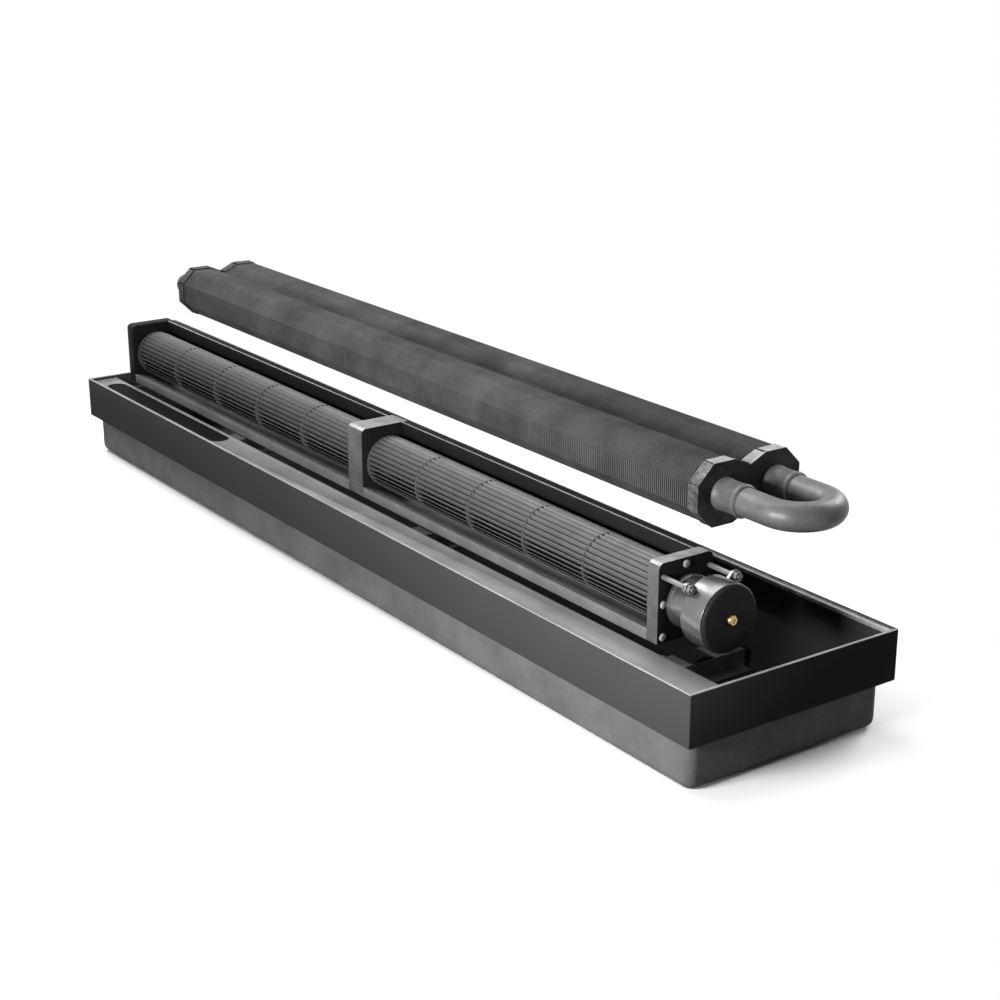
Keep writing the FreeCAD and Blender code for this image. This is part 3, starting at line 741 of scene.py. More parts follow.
FINISHES = (
    Finish(
        "pan_grey", (0.15, 0.15, 0.153), (0.09, 0.09, 0.092), metallic=0.1, roughness=0.6,
        uneven=0.08, fineness=900.0, grain_share=0.35, cloud_size=0.05, cloud_share=0.75,
        dust=0.02, specular=0.12,
    ),
    # Painted shade: the dark colour given to the tub's inner faces and to the rear strip below its top.
    Finish(
        "pan_inside", (0.045, 0.045, 0.046), (0.03, 0.03, 0.031), roughness=0.7, uneven=0.08,
        cloud_size=0.05, relief=0.2, dust=0.02, specular=0.02,
    ),
    Finish(
        "dull_zinc", (0.2, 0.201, 0.203), (0.1, 0.101, 0.102), metallic=0.3, roughness=0.6,
        grain=Grain.ROLLED, cloud_size=0.025, cloud_share=0.6, dust=0.02, specular=0.1,
    ),
    Finish(
        "rim_black", (0.056, 0.056, 0.058), (0.042, 0.042, 0.043), uneven=0.05, fineness=1400.0,
        cloud_size=0.12, cloud_share=0.3, relief=0.12, dust=0.01, specular=0.005,
    ),
    # Painted highlight: the light colour given to the rails' upper edges and to the guide sheets'
    # folds.
    Finish(
        "rim_edge", (0.36, 0.36, 0.363), (0.2, 0.2, 0.202), metallic=0.1, uneven=0.05,
        fineness=1400.0, cloud_size=0.05, cloud_share=0.6, relief=0.12, specular=0.08,
    ),
    Finish(
        "strip_dark", (0.2, 0.2, 0.203), (0.02, 0.02, 0.021), roughness=0.65, uneven=0.1,
        fineness=420.0, grain_share=1.0, cloud_size=0.03, cloud_share=0.05, relief=0.6,
        relief_depth=0.0004, dust=0.02, specular=0.05,
    ),
    Finish(
        "deck_steel", (0.27, 0.27, 0.273), (0.13, 0.13, 0.132), metallic=0.5, roughness=0.4,
        uneven=0.06, grain=Grain.BRUSHED, fineness=1400.0, grain_share=0.2, cloud_size=0.1,
        cloud_share=0.6, relief=0.12,
    ),
    Finish(
        "zinc_steel", (0.2, 0.202, 0.206), (0.12, 0.121, 0.124), metallic=0.45, roughness=0.45,
        grain=Grain.ROLLED, cloud_size=0.025, cloud_share=0.6, dust=0.02,
    ),
    # Also the painted shade on the middle fan frame's end faces.
    Finish(
        "frame_black", (0.018, 0.018, 0.019), (0.01, 0.01, 0.011), roughness=0.55, uneven=0.08,
        fineness=1100.0, cloud_size=0.03, relief=0.2, dust=0.02, specular=0.03,
    ),
    # Also the painted light on the right fan plate's front faces.
    Finish(
        "frame_zinc", (0.1, 0.101, 0.103), (0.05, 0.051, 0.053), metallic=0.1, roughness=0.4,
        grain=Grain.ROLLED, cloud_share=0.7, dust=0.02, specular=0.25, coat=0.1,
    ),
    Finish(
        "impeller_alu", (0.125, 0.127, 0.13), (0.085, 0.087, 0.09), metallic=0.1,
        grain=Grain.BRUSHED, fineness=1200.0, grain_share=0.4, cloud_share=0.5, specular=0.08,
    ),
    Finish(
        "impeller_shade", (0.045, 0.045, 0.046), (0.025, 0.025, 0.026), roughness=0.6,
        grain=Grain.BRUSHED, fineness=1200.0, cloud_size=0.03, cloud_share=0.5, relief=0.12,
        specular=0.03,
    ),
    Finish(
        "motor_metal", (0.18, 0.181, 0.184), (0.13, 0.131, 0.133), metallic=0.8, roughness=0.26,
        uneven=0.03, fineness=900.0, grain_share=0.1, relief=0.03, specular=0.5,
    ),
    Finish(
        "motor_dark", (0.02, 0.02, 0.021), (0.013, 0.013, 0.014), roughness=0.55,
        fineness=900.0, relief=0.25, specular=0.08,
    ),
    Finish(
        "bronze", (0.5, 0.36, 0.17), (0.34, 0.23, 0.1), metallic=1.0, roughness=0.32,
        uneven=0.08, grain=Grain.TURNED, fineness=2500.0, cloud_size=0.008, relief=0.12,
        specular=0.5,
    ),
    Finish(
        "shaft_steel", (0.36, 0.36, 0.367), (0.24, 0.24, 0.245), metallic=1.0, roughness=0.28,
        uneven=0.08, grain=Grain.TURNED, fineness=2400.0, cloud_size=0.01, relief=0.08,
        specular=0.5,
    ),
    Finish(
        "fin_graphite", (0.17, 0.17, 0.173), (0.09, 0.09, 0.092), roughness=0.6,
        cloud_size=0.06, cloud_share=0.8, relief=0.12, specular=0.04,
    ),
    Finish(
        "plate_graphite", (0.05, 0.05, 0.052), (0.018, 0.018, 0.019), metallic=0.1,
        fineness=900.0, cloud_size=0.012, cloud_share=0.8, dust=0.02, specular=0.1,
    ),
    # Painted light: the right exchanger plate's flange sides, lighter than its web as if lit.
    Finish(
        "flange_grey", (0.16, 0.16, 0.162), (0.03, 0.03, 0.031), metallic=0.2, grain_share=0.6,
        cloud_size=0.006, cloud_share=0.7, relief=0.3,
    ),
    # The screw heads' own steel, and the painted highlight on the tops of the fan plates, the right
    # exchanger flange and the rear strip's lip.
    Finish(
        "tab_steel", (0.42, 0.42, 0.425), (0.24, 0.24, 0.244), metallic=0.15, roughness=0.45,
        fineness=900.0, cloud_size=0.01, cloud_share=0.8, specular=0.15,
    ),
    Finish(
        "pipe_metal", (0.15, 0.15, 0.152), (0.085, 0.085, 0.086), metallic=0.25, roughness=0.45,
        uneven=0.06, grain=Grain.ROLLED, fineness=600.0, grain_share=0.4, cloud_size=0.012,
        cloud_share=0.5, relief=0.12,
    ),
    Finish(
        "black_plastic", (0.008, 0.008, 0.008), (0.005, 0.005, 0.005), roughness=0.6,
        fineness=1200.0, grain_share=0.5, relief=0.3, specular=0.01,
    ),
    Finish(
        "grey_plastic", (0.36, 0.36, 0.36), (0.28, 0.28, 0.28), uneven=0.06, fineness=1200.0,
        relief=0.2, dust=0.08, specular=0.3,
    ),
    Finish(
        "black_rubber", (0.02, 0.02, 0.021), (0.013, 0.013, 0.013), roughness=0.75, uneven=0.1,
        fineness=1000.0, relief=0.35, dust=0.06, specular=0.1,
    ),
)


class Workshop:
    """Dresses pieces in their finishes and hands them to the frame."""

    def __init__(self) -> None:
        """Builds every finish."""
        effects = Effects().build()
        self.finishes = {finish.slot: finish.material(effects) for finish in FINISHES}
        self.slots = {
            part["node"]: part["material_slot"] for part in frame["record"]["subparts"]
        }

    def dress(self, piece: bpy.types.Object, slot: str) -> None:
        """Gives a piece one finish all over.

        Args:
            piece: The piece to dress.
            slot: The finish's slot.
        """
        piece.data.materials.clear()
        piece.data.materials.append(self.finishes[slot])

    def keep(self, piece: bpy.types.Object, *nodes: str) -> bpy.types.Object:
        """Hands over a finished piece that stands for nodes of the frame.

        Args:
            piece: The finished piece.
            nodes: The nodes that it stands for.

        Returns:
            The piece.
        """
        slot = self.slots[nodes[0]]
        self.dress(piece, slot)
        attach(piece, body_of(nodes[0]))
        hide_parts(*nodes)
        log.info("%s: %d faces, for %s", piece.name, len(piece.data.polygons), ", ".join(nodes))
        return piece

    def keep_smooth(self, piece: bpy.types.Object, node: str, angle: float = 40.0) -> bpy.types.Object:
        """Shades a new piece smooth and hands it over for one node.

        Args:
            piece: The finished piece.
            node: The node that it stands for.
            angle: Faces that meet at less than this many degrees are shaded as one.

        Returns:
            The piece.
        """
        smooth(piece, angle)
        return self.keep(piece, node)

    def rounded(
        self, node: str, width: float, segments: int = 2, angle: float = 30.0
    ) -> bpy.types.Object:
        """Takes up a node, rounds its edges and hands it over.

        Args:
            node: The node.
            width: The rounding's width in metres.
            segments: How many faces the rounding has across.
            angle: Edges sharper than this many degrees are rounded.

        Returns:
            The finished piece.
        """
        piece = taken_up(node, f"{node}_finished")
        soften(piece, width, segments, angle)
        return self.keep(piece, node)

    def line(
        self, piece: bpy.types.Object, finish: str, test: Callable[[Vector, Vector], bool]
    ) -> None:
        """Gives some faces of a dressed piece a finish of their own, here painted highlights and
        painted shade.

        Args:
            piece: The piece.
            finish: The finish's name.
            test: Takes a face's centre and normal.
        """
        piece.data.materials.append(self.finishes[finish])
        with editing(piece):
            pick(piece, Part.FACE, test)
            piece.active_material_index = len(piece.data.materials) - 1
            bpy.ops.object.material_slot_assign()

    def dress_frame(self) -> None:
        """Dresses the nodes of the frame that still show."""
        for node, piece in frame["nodes"].items():
            if piece.hide_render:
                continue
            self.dress(piece, self.slots[node])
            log.info("%s: as it is in the frame", node)


# The trough


@dataclass
class Trough:
    """The trough: its tub, rim, deck, terminal lid and entries.

    Attributes:
        shop: Where its pieces are dressed and handed over.
        wall: The tub's wall.
        corner: Radius of the tub's upright corners.
        foot: Radius round the tub's floor.
        screw_hole: Radius of the holes in the floor.
        screw_places: Their distance from the middle along and across.
        pipe_hole: Radius of the two pipes' entries.
        cable_hole: Radius of the cable's entry.
        cable_y: The cable's entry across.
        entry_z: Height of all entries.
        drill: Where a drill ends outside and inside of a wall's outer face.
        bright_edge: Height of the band along the rails' upper edge that is painted light as a
            highlight.
        bright_lip: Width of the lip of the rear strip that is painted light as a highlight.
        slot_facet: A face of the sheet's edge narrower than this belongs to a round end.
        membrane: Thickness of the skin that closes a grommet.
        skin: Radius of that skin.
    """

    shop: Workshop
    wall: float = 0.0015
    corner: float = 0.009
    foot: float = 0.008
    screw_hole: float = 0.0035
    screw_places: tuple[float, float] = (0.300, 0.045)
    pipe_hole: float = 0.011
    cable_hole: float = 0.005
    cable_y: float = -0.076
    entry_z: float = 0.022
    drill: tuple[float, float] = (-0.004, 0.006)
    bright_edge: float = 0.0012
    bright_lip: float = 0.003
    slot_facet: float = 0.002
    membrane: float = 0.0006
    skin: float = 0.0097

    def build(self) -> None:
        """Builds every piece of the trough."""
        self.tub()
        self.rim()
        self.deck()
        self.fittings()

    def drilled(self, place: Place, radius: float, axis: Axis, sides: int) -> bpy.types.Object:
        """Makes the rod that a round hole is cut with.

        Args:
            place: Where the hole enters the wall.
            radius: The hole's radius.
            axis: The hole's line.
            sides: How many sides the hole has.

        Returns:
            The rod.
        """
        return turned("drill", place, [(end, radius) for end in self.drill], axis, sides)

    def tub(self) -> None:
        """Builds the pressed tub: a block without a lid, rounded, given its wall and drilled."""
        nodes = ["trough_floor"] + [
            f"trough_{part}" for part in ("front_wall", "rear_wall", "left_end", "right_end")
        ]
        boxes = [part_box(node) for node in nodes]
        low = [min(box[0][k] for box in boxes) for k in range(3)]
        high = [max(box[1][k] for box in boxes) for k in range(3)]
        tub = block("trough_tub", low, high)
        with editing(tub):
            pick(tub, Part.FACE, lambda centre, normal: normal.z > 0.9)
            bpy.ops.mesh.delete(type="FACE")
            pick(tub, Part.EDGE, lambda a, b: abs(a.z - b.z) > self.foot)
            bpy.ops.mesh.bevel(offset=self.corner, segments=6, affect="EDGES")
            pick(tub, Part.EDGE, lambda a, b: max(a.z, b.z) < low[2] + NEAR)
            bpy.ops.mesh.bevel(offset=self.foot, segments=6, affect="EDGES")
            face_outwards()
        modify(tub, "SOLIDIFY", thickness=self.wall, offset=-1.0, use_even_offset=True)
        rods = []
        for side_x in (-1, 1):
            for side_y in (-1, 1):
                place = (side_x * self.screw_places[0], side_y * self.screw_places[1], 0.0)
                rods.append(self.drilled(place, self.screw_hole, Axis.UPRIGHT, 32))
        entries = [(self.cable_y, self.cable_hole)]
        entries += [(middle(node).y, self.pipe_hole) for node in ("front_nipple", "rear_nipple")]
        for y, radius in entries:
            rods.append(self.drilled((low[0], y, self.entry_z), radius, Axis.ALONG, 40))
        cut(tub, rods)
        soften(tub, width=0.0004, angle=50.0)
        self.shop.keep(tub, *nodes)
        # The tub's inner walls and the floor inside are painted dark as shade.
        self.shop.line(
            tub, "pan_inside",
            lambda c, n: (n.z > 0.5 and c.z < self.foot) or c.x * n.x + c.y * n.y < -0.001,
        )

    def rim(self) -> None:
        """Finishes the four mitred rails and the textured strip on the rear one."""
        self.shop.rounded("rim_rear_rail", width=0.0006, segments=3)
        for side in ("front", "left", "right"):
            node = f"rim_{side}_rail"
            rail = self.shop.rounded(node, width=0.0006, segments=3)
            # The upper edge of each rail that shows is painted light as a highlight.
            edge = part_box(node)[1].z - self.bright_edge
            self.shop.line(rail, "rim_edge", lambda c, n, edge=edge: n.z > 0.2 and c.z > edge)
        strip = self.shop.rounded("rear_cover_strip", width=0.0005)
        low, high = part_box("rear_cover_strip")
        lip, hem = low.y + self.bright_lip, high.z - self.bright_lip
        split(strip, (0.0, lip, 0.0), (0.0, 1.0, 0.0))
        split(strip, (0.0, 0.0, hem), (0.0, 0.0, 1.0))
        # Below its top the strip is painted dark as shade, and the top of the lip along its front edge
        # is painted light as a highlight.
        self.shop.line(strip, "pan_inside", lambda c, n: c.z < hem)
        self.shop.line(strip, "tab_steel", lambda c, n: c.z > hem and c.y < lip)

    def deck(self) -> None:
        """Finishes the folded deck as one sheet."""
        deck = taken_up("front_deck", "front_deck_sheet")
        with editing(deck):
            twins = self.touching_faces(deck)
            pick(deck, Part.FACE, lambda centre, normal: tuple(round(c, 5) for c in centre) in twins)
            bpy.ops.mesh.delete(type="ONLY_FACE")
            merge(flat=True)
        soften(deck, width=0.0003, angle=50.0)
        self.shop.keep(deck, "front_deck")

    def touching_faces(self, piece: bpy.types.Object) -> set[Place]:
        """Finds the inner faces where two fields of a sheet meet.

        Args:
            piece: The merged sheet in edit mode.

        Returns:
            The rounded centres of the faces that lie across the sheet, inside its ends.
        """
        low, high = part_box("front_deck")
        mesh = bmesh.from_edit_mesh(piece.data)
        found = set()
        for face in mesh.faces:
            centre = face.calc_center_median()
            across = [corner.co.y for corner in face.verts]
            wide = max(across) - min(across) > self.slot_facet
            inside = low.x + self.wall < centre.x < high.x - self.wall
            if wide and inside and abs(face.normal.x) > 0.999:
                found.add(tuple(round(c, 5) for c in centre))
        return found

    def fittings(self) -> None:
        """Finishes the terminal lid, the entries at the left end and the saddles."""
        self.shop.rounded("terminal_lid", width=0.0004)
        self.grommets()
        self.shop.rounded("cable_gland", width=0.0004, angle=35.0)
        self.shop.rounded("cable_gland_nut", width=0.0003, angle=35.0)
        for place in ("left", "middle", "right"):
            saddle = self.shop.rounded(f"saddle_{place}", width=0.0005)
            self.shop.dress(saddle, "dull_zinc")

    def grommets(self) -> None:
        """Finishes the rubber rings and closes each with the skin that a pipe is pushed through."""
        rings = taken_up("pipe_grommets", "entry_grommets")
        soften(rings, width=0.0005, angle=40.0)
        place = middle("pipe_grommets")
        film, radius = self.membrane, self.skin
        skin = [
            (0.0, radius), (film, radius), (film * 1.6, radius * 0.5), (film * 2.6, radius * 0.42),
            (film * 2.6, radius * 0.2),
        ]
        skins = [
            turned("skin", (place.x, middle(node).y, place.z), skin, sides=40)
            for node in ("front_nipple", "rear_nipple")
        ]
        self.shop.keep_smooth(joined("entry_grommets", [rings, *skins]), "pipe_grommets")


# The fan module


@dataclass
class FanModule:
    """The fan's plates, guide sheets, screws and motor.

    Attributes:
        shop: Where its pieces are dressed and handed over.
        fold: Width of the band along a fold of a rear guide sheet that is painted light as a highlight.
        flange: Depth of that sheet's upper flange.
        screw_radius: A screw head's radius.
        screw_height: Its height.
        bearing: Radius of the bore for the motor's shaft.
        nose: Radius of the motor's shield round that bore.
        shoulder: Radius at which the shield steps out from its nose.
        shield: Radius of the shield's neck.
        bead: Radius of its two beads.
        flare: Radius at which it widens to the can.
    """

    shop: Workshop
    fold: float = 0.0016
    flange: float = 0.010
    screw_radius: float = 0.003
    screw_height: float = 0.0016
    bearing: float = 0.0031
    nose: float = 0.009
    shoulder: float = 0.0187
    shield: float = 0.0196
    bead: float = 0.0205
    flare: float = 0.023

    def build(self) -> None:
        """Builds every piece of the fan module."""
        self.shop.rounded("fan_left_plate", width=0.0005, angle=40.0)
        # The middle frame's end faces are painted dark as shade, the right plate's front faces lighter
        # as lit, and the tops of both light as a highlight.
        for node, finish, test in (
            ("fan_middle_frame", "frame_black", lambda c, n: abs(n.x) > 0.7),
            ("fan_right_plate", "frame_zinc", lambda c, n: n.y < -0.6),
        ):
            plate = self.shop.rounded(node, width=0.0005, angle=40.0)
            self.shop.line(plate, finish, test)
            self.shop.line(plate, "tab_steel", lambda c, n: n.z > 0.6)
        for side in ("left", "right"):
            self.shop.rounded(f"fan_{side}_scroll", width=0.0003)
            self.tongue(f"fan_{side}_tongue")
        self.screws()
        self.motor()

    def tongue(self, node: str) -> None:
        """Finishes a rear guide sheet, with painted highlights on top of its two folds.

        Args:
            node: The guide sheet's node.
        """
        sheet = self.shop.rounded(node, width=0.0003)
        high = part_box(node)[1]
        top = high.z - self.fold
        rear = high.y - self.fold
        front = high.y - self.flange + self.fold
        for y in (rear, front):
            split(sheet, (0.0, y, 0.0), (0.0, 1.0, 0.0))

        def fold_highlight(place: Vector, normal: Vector) -> bool:
            """Tells whether a face lies on top of one of the two folds, where a highlight is painted.
            """
            on_fold = place.y > rear or front - 2 * self.fold < place.y < front
            return normal.z > 0.3 and place.z > top and on_fold

        # The tops of the two folds are painted light as a highlight.
        self.shop.line(sheet, "rim_edge", fold_highlight)

    def screws(self) -> None:
        """Builds the domed screw heads with their crossed recesses."""
        source = taken_up("fan_plate_screws", "screw_places")
        take(source)
        bpy.ops.mesh.separate(type="LOOSE")
        heads = []
        r, h = self.screw_radius, self.screw_height
        dome = [(0.0, r), (h * 0.45, r), (h * 0.8, r * 0.8), (h, r * 0.45)]
        for part in list(bpy.context.selected_objects):
            corners = [point.co for point in part.data.vertices]
            low = Vector([min(c[k] for c in corners) for k in range(3)])
            high = Vector([max(c[k] for c in corners) for k in range(3)])
            bpy.data.objects.remove(part, do_unlink=True)
            place = Vector((low.x, (low.y + high.y) / 2, (low.z + high.z) / 2))
            head = turned("screw_head", place, dome, sides=24)
            recess = []
            for y, z in ((r * 0.52, r * 0.11), (r * 0.11, r * 0.52)):
                corner = place + Vector((h * 0.45, -y, -z))
                recess.append(block("recess", corner, place + Vector((h * 1.5, y, z))))
            cut(head, recess)
            heads.append(head)
        screws = self.shop.keep_smooth(joined("fan_plate_screw_heads", heads), "fan_plate_screws")
        self.shop.dress(screws, "tab_steel")

    def motor(self) -> None:
        """Builds the motor: its necked shield, rounded can, end cap and bronze bearing."""
        low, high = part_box("motor_neck")
        axis = middle("motor_neck")
        can = (high.z - low.z) / 2
        length = high.x - low.x
        profile = [
            (0.0, self.bearing), (0.0, self.nose), (0.0035, self.nose), (0.0035, self.shoulder),
            (0.0047, self.bead), (0.0072, self.bead), (0.008, self.shield),
            (length - 0.006, self.shield), (length - 0.0035, self.bead),
            (length - 0.0015, self.flare), (length - 0.0015, can - 0.0006), (length - 0.0009, can),
            (length, can), (length, self.bearing), (0.0, self.bearing),
        ]
        place = (low.x, axis.y, axis.z)
        shield = turned("motor_bearing_shield", place, profile, hollow=True, sides=64)
        self.shop.keep_smooth(shield, "motor_neck")
        housing = taken_up("motor_housing", "motor_can")
        soften(housing, width=0.0008, segments=3, angle=40.0)
        self.shop.keep(housing, "motor_housing")
        self.shop.rounded("motor_cap", width=0.0006, angle=25.0)
        low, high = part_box("motor_boss")
        boss = (high.z - low.z) / 2
        reach = high.x - low.x
        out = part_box("motor_cap")[1].x - low.x
        profile = [
            (0.0, 0.00306), (0.0, boss), (out + 0.0004, boss), (reach - 0.0007, boss * 0.94),
            (reach, boss * 0.76), (reach, boss * 0.42), (reach - 0.0008, boss * 0.36),
            (reach - 0.0008, 0.0002),
        ]
        bearing = turned("motor_end_bearing", (low.x, axis.y, axis.z), profile)
        self.shop.keep_smooth(bearing, "motor_boss")
        self.shop.rounded("motor_rod_nuts", width=0.0003, angle=40.0)
        self.shop.rounded("motor_rods", width=0.0005, angle=50.0)


@dataclass
class FanRotor:
    """The two impellers: blades set round a row of rings.

    Attributes:
        shop: Where its pieces are dressed and handed over.
        radius: A wheel's radius.
        blades: How many blades it has.
        chord: A blade's width from edge to edge.
        blade_depth: How deep the blades reach into the wheel.
        curve: Radius of their camber.
        sheet: Their thickness.
        ring_depth: How deep a ring reaches into the wheel.
        ring_thickness: A ring's thickness.
        ring_chamfer: The chamfer of its rim.
        ring_step: How far its rim stands behind the blades' edges.
        segments: How many fields the rings divide the wheel into.
        hub: A hub's radius.
        hub_length: How deep the hubs reach in from the ends.
        hub_start: How far in from the ends they start, within the end rings.
        bore: Radius of the bore for the shaft.
        clearance: What the blades stay behind the wheel's ends.
    """

    shop: Workshop
    radius: float = 0.023
    blades: int = 32
    chord: float = 0.0098
    blade_depth: float = 0.0075
    curve: float = 0.0095
    sheet: float = 0.00035
    ring_depth: float = 0.0082
    ring_thickness: float = 0.0016
    ring_chamfer: float = 0.0002
    ring_step: float = 0.0003
    segments: int = 5
    hub: float = 0.007
    hub_length: float = 0.006
    hub_start: float = 0.0012
    bore: float = 0.003
    clearance: float = 0.0002

    def build(self) -> None:
        """Builds both impellers."""
        for side in ("left", "right"):
            self.impeller(f"impeller_{side}")

    def impeller(self, node: str) -> None:
        """Builds one impeller in the place of its node.

        Args:
            node: The impeller's node.
        """
        low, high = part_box(node)
        axis = middle("drive_shaft")
        centre = Vector((low.x, axis.y, axis.z))
        length = high.x - low.x
        parts = [self.blade_row(centre, length)]
        pitch = (length - self.ring_thickness) / self.segments
        outer = self.radius - self.ring_step
        for number in range(self.segments + 1):
            last = number in (0, self.segments)
            inner = self.bore if last else self.radius - self.ring_depth
            start = number * pitch
            end = start + self.ring_thickness
            profile = [
                (start, inner), (start, outer - self.ring_chamfer), (start + self.ring_chamfer, outer),
                (end - self.ring_chamfer, outer), (end, outer - self.ring_chamfer), (end, inner),
                (start, inner),
            ]
            parts.append(turned("ring", centre, profile, hollow=True, sides=72))
        near, deep = self.hub_start, self.hub_length
        for start, end in ((near, deep), (length - deep, length - near)):
            profile = [
                (start, self.bore), (start, self.hub), (end, self.hub), (end, self.bore),
                (start, self.bore),
            ]
            parts.append(turned("hub", centre, profile, hollow=True, sides=40))
        wheel = self.shop.keep_smooth(joined(f"{node}_wheel", parts), node)
        rim = self.radius - self.sheet * 3

        def shaded(place: Vector, normal: Vector) -> bool:
            """Tells whether a face of the wheel lies in the shade of its blades.

            Args:
                place: The face's centre.
                normal: Its normal.

            Returns:
                Whether it looks inwards or is the edge of a ring.
            """
            spoke = Vector((0.0, place.y - centre.y, place.z - centre.z))
            across = (place.x - centre.x) % pitch
            on_ring = across < self.ring_thickness and spoke.length > rim
            return abs(normal.x) < 0.3 and (normal.dot(spoke) < 0.0 or on_ring)

        self.shop.line(wheel, "impeller_shade", shaded)

    def blade_row(self, centre: Vector, length: float) -> bpy.types.Object:
        """Builds the row of cambered blades from one blade that is spun round.

        Args:
            centre: The left end of the shaft line.
            length: The wheel's length.

        Returns:
            All blades as one shape.
        """
        inner = self.radius - self.blade_depth
        swing = math.acos(
            (self.radius**2 + inner**2 - self.chord**2) / (2 * self.radius * inner)
        )
        tip = Vector((0.0, 0.0, self.radius))
        root = Vector((0.0, -inner * math.sin(swing), inner * math.cos(swing)))
        along = (tip - root).normalized()
        outwards = Vector((0.0, -along.z, along.y))
        lift = math.sqrt(self.curve**2 - (self.chord / 2) ** 2)
        start = centre + Vector((self.clearance, 0.0, 0.0))
        arc_centre = start + (tip + root) / 2 - outwards * lift
        blades = ring("blades", arc_centre, self.curve, 72)
        half = math.asin(self.chord / 2 / self.curve)
        with editing(blades, Part.VERT):
            pick(blades, Part.VERT, lambda p: (p - arc_centre).angle(outwards) > half + 0.02)
            bpy.ops.mesh.delete(type="VERT")
            pick_all()
            draw_out((length - 2 * self.clearance, 0.0, 0.0))
        modify(blades, "SOLIDIFY", thickness=self.sheet, offset=0.0)
        with editing(blades, Part.VERT):
            bpy.ops.mesh.spin(
                steps=self.blades - 1, dupli=True, center=centre, axis=(1.0, 0.0, 0.0),
                angle=2 * math.pi * (self.blades - 1) / self.blades,
            )
            face_outwards()
        reach = max(math.hypot(p.co.y - centre.y, p.co.z - centre.z) for p in blades.data.vertices)
        with editing(blades, Part.VERT):
            growth = Axis.ALONG.spread(self.radius / reach)
            bpy.ops.transform.resize(value=growth, center_override=centre)
        return blades


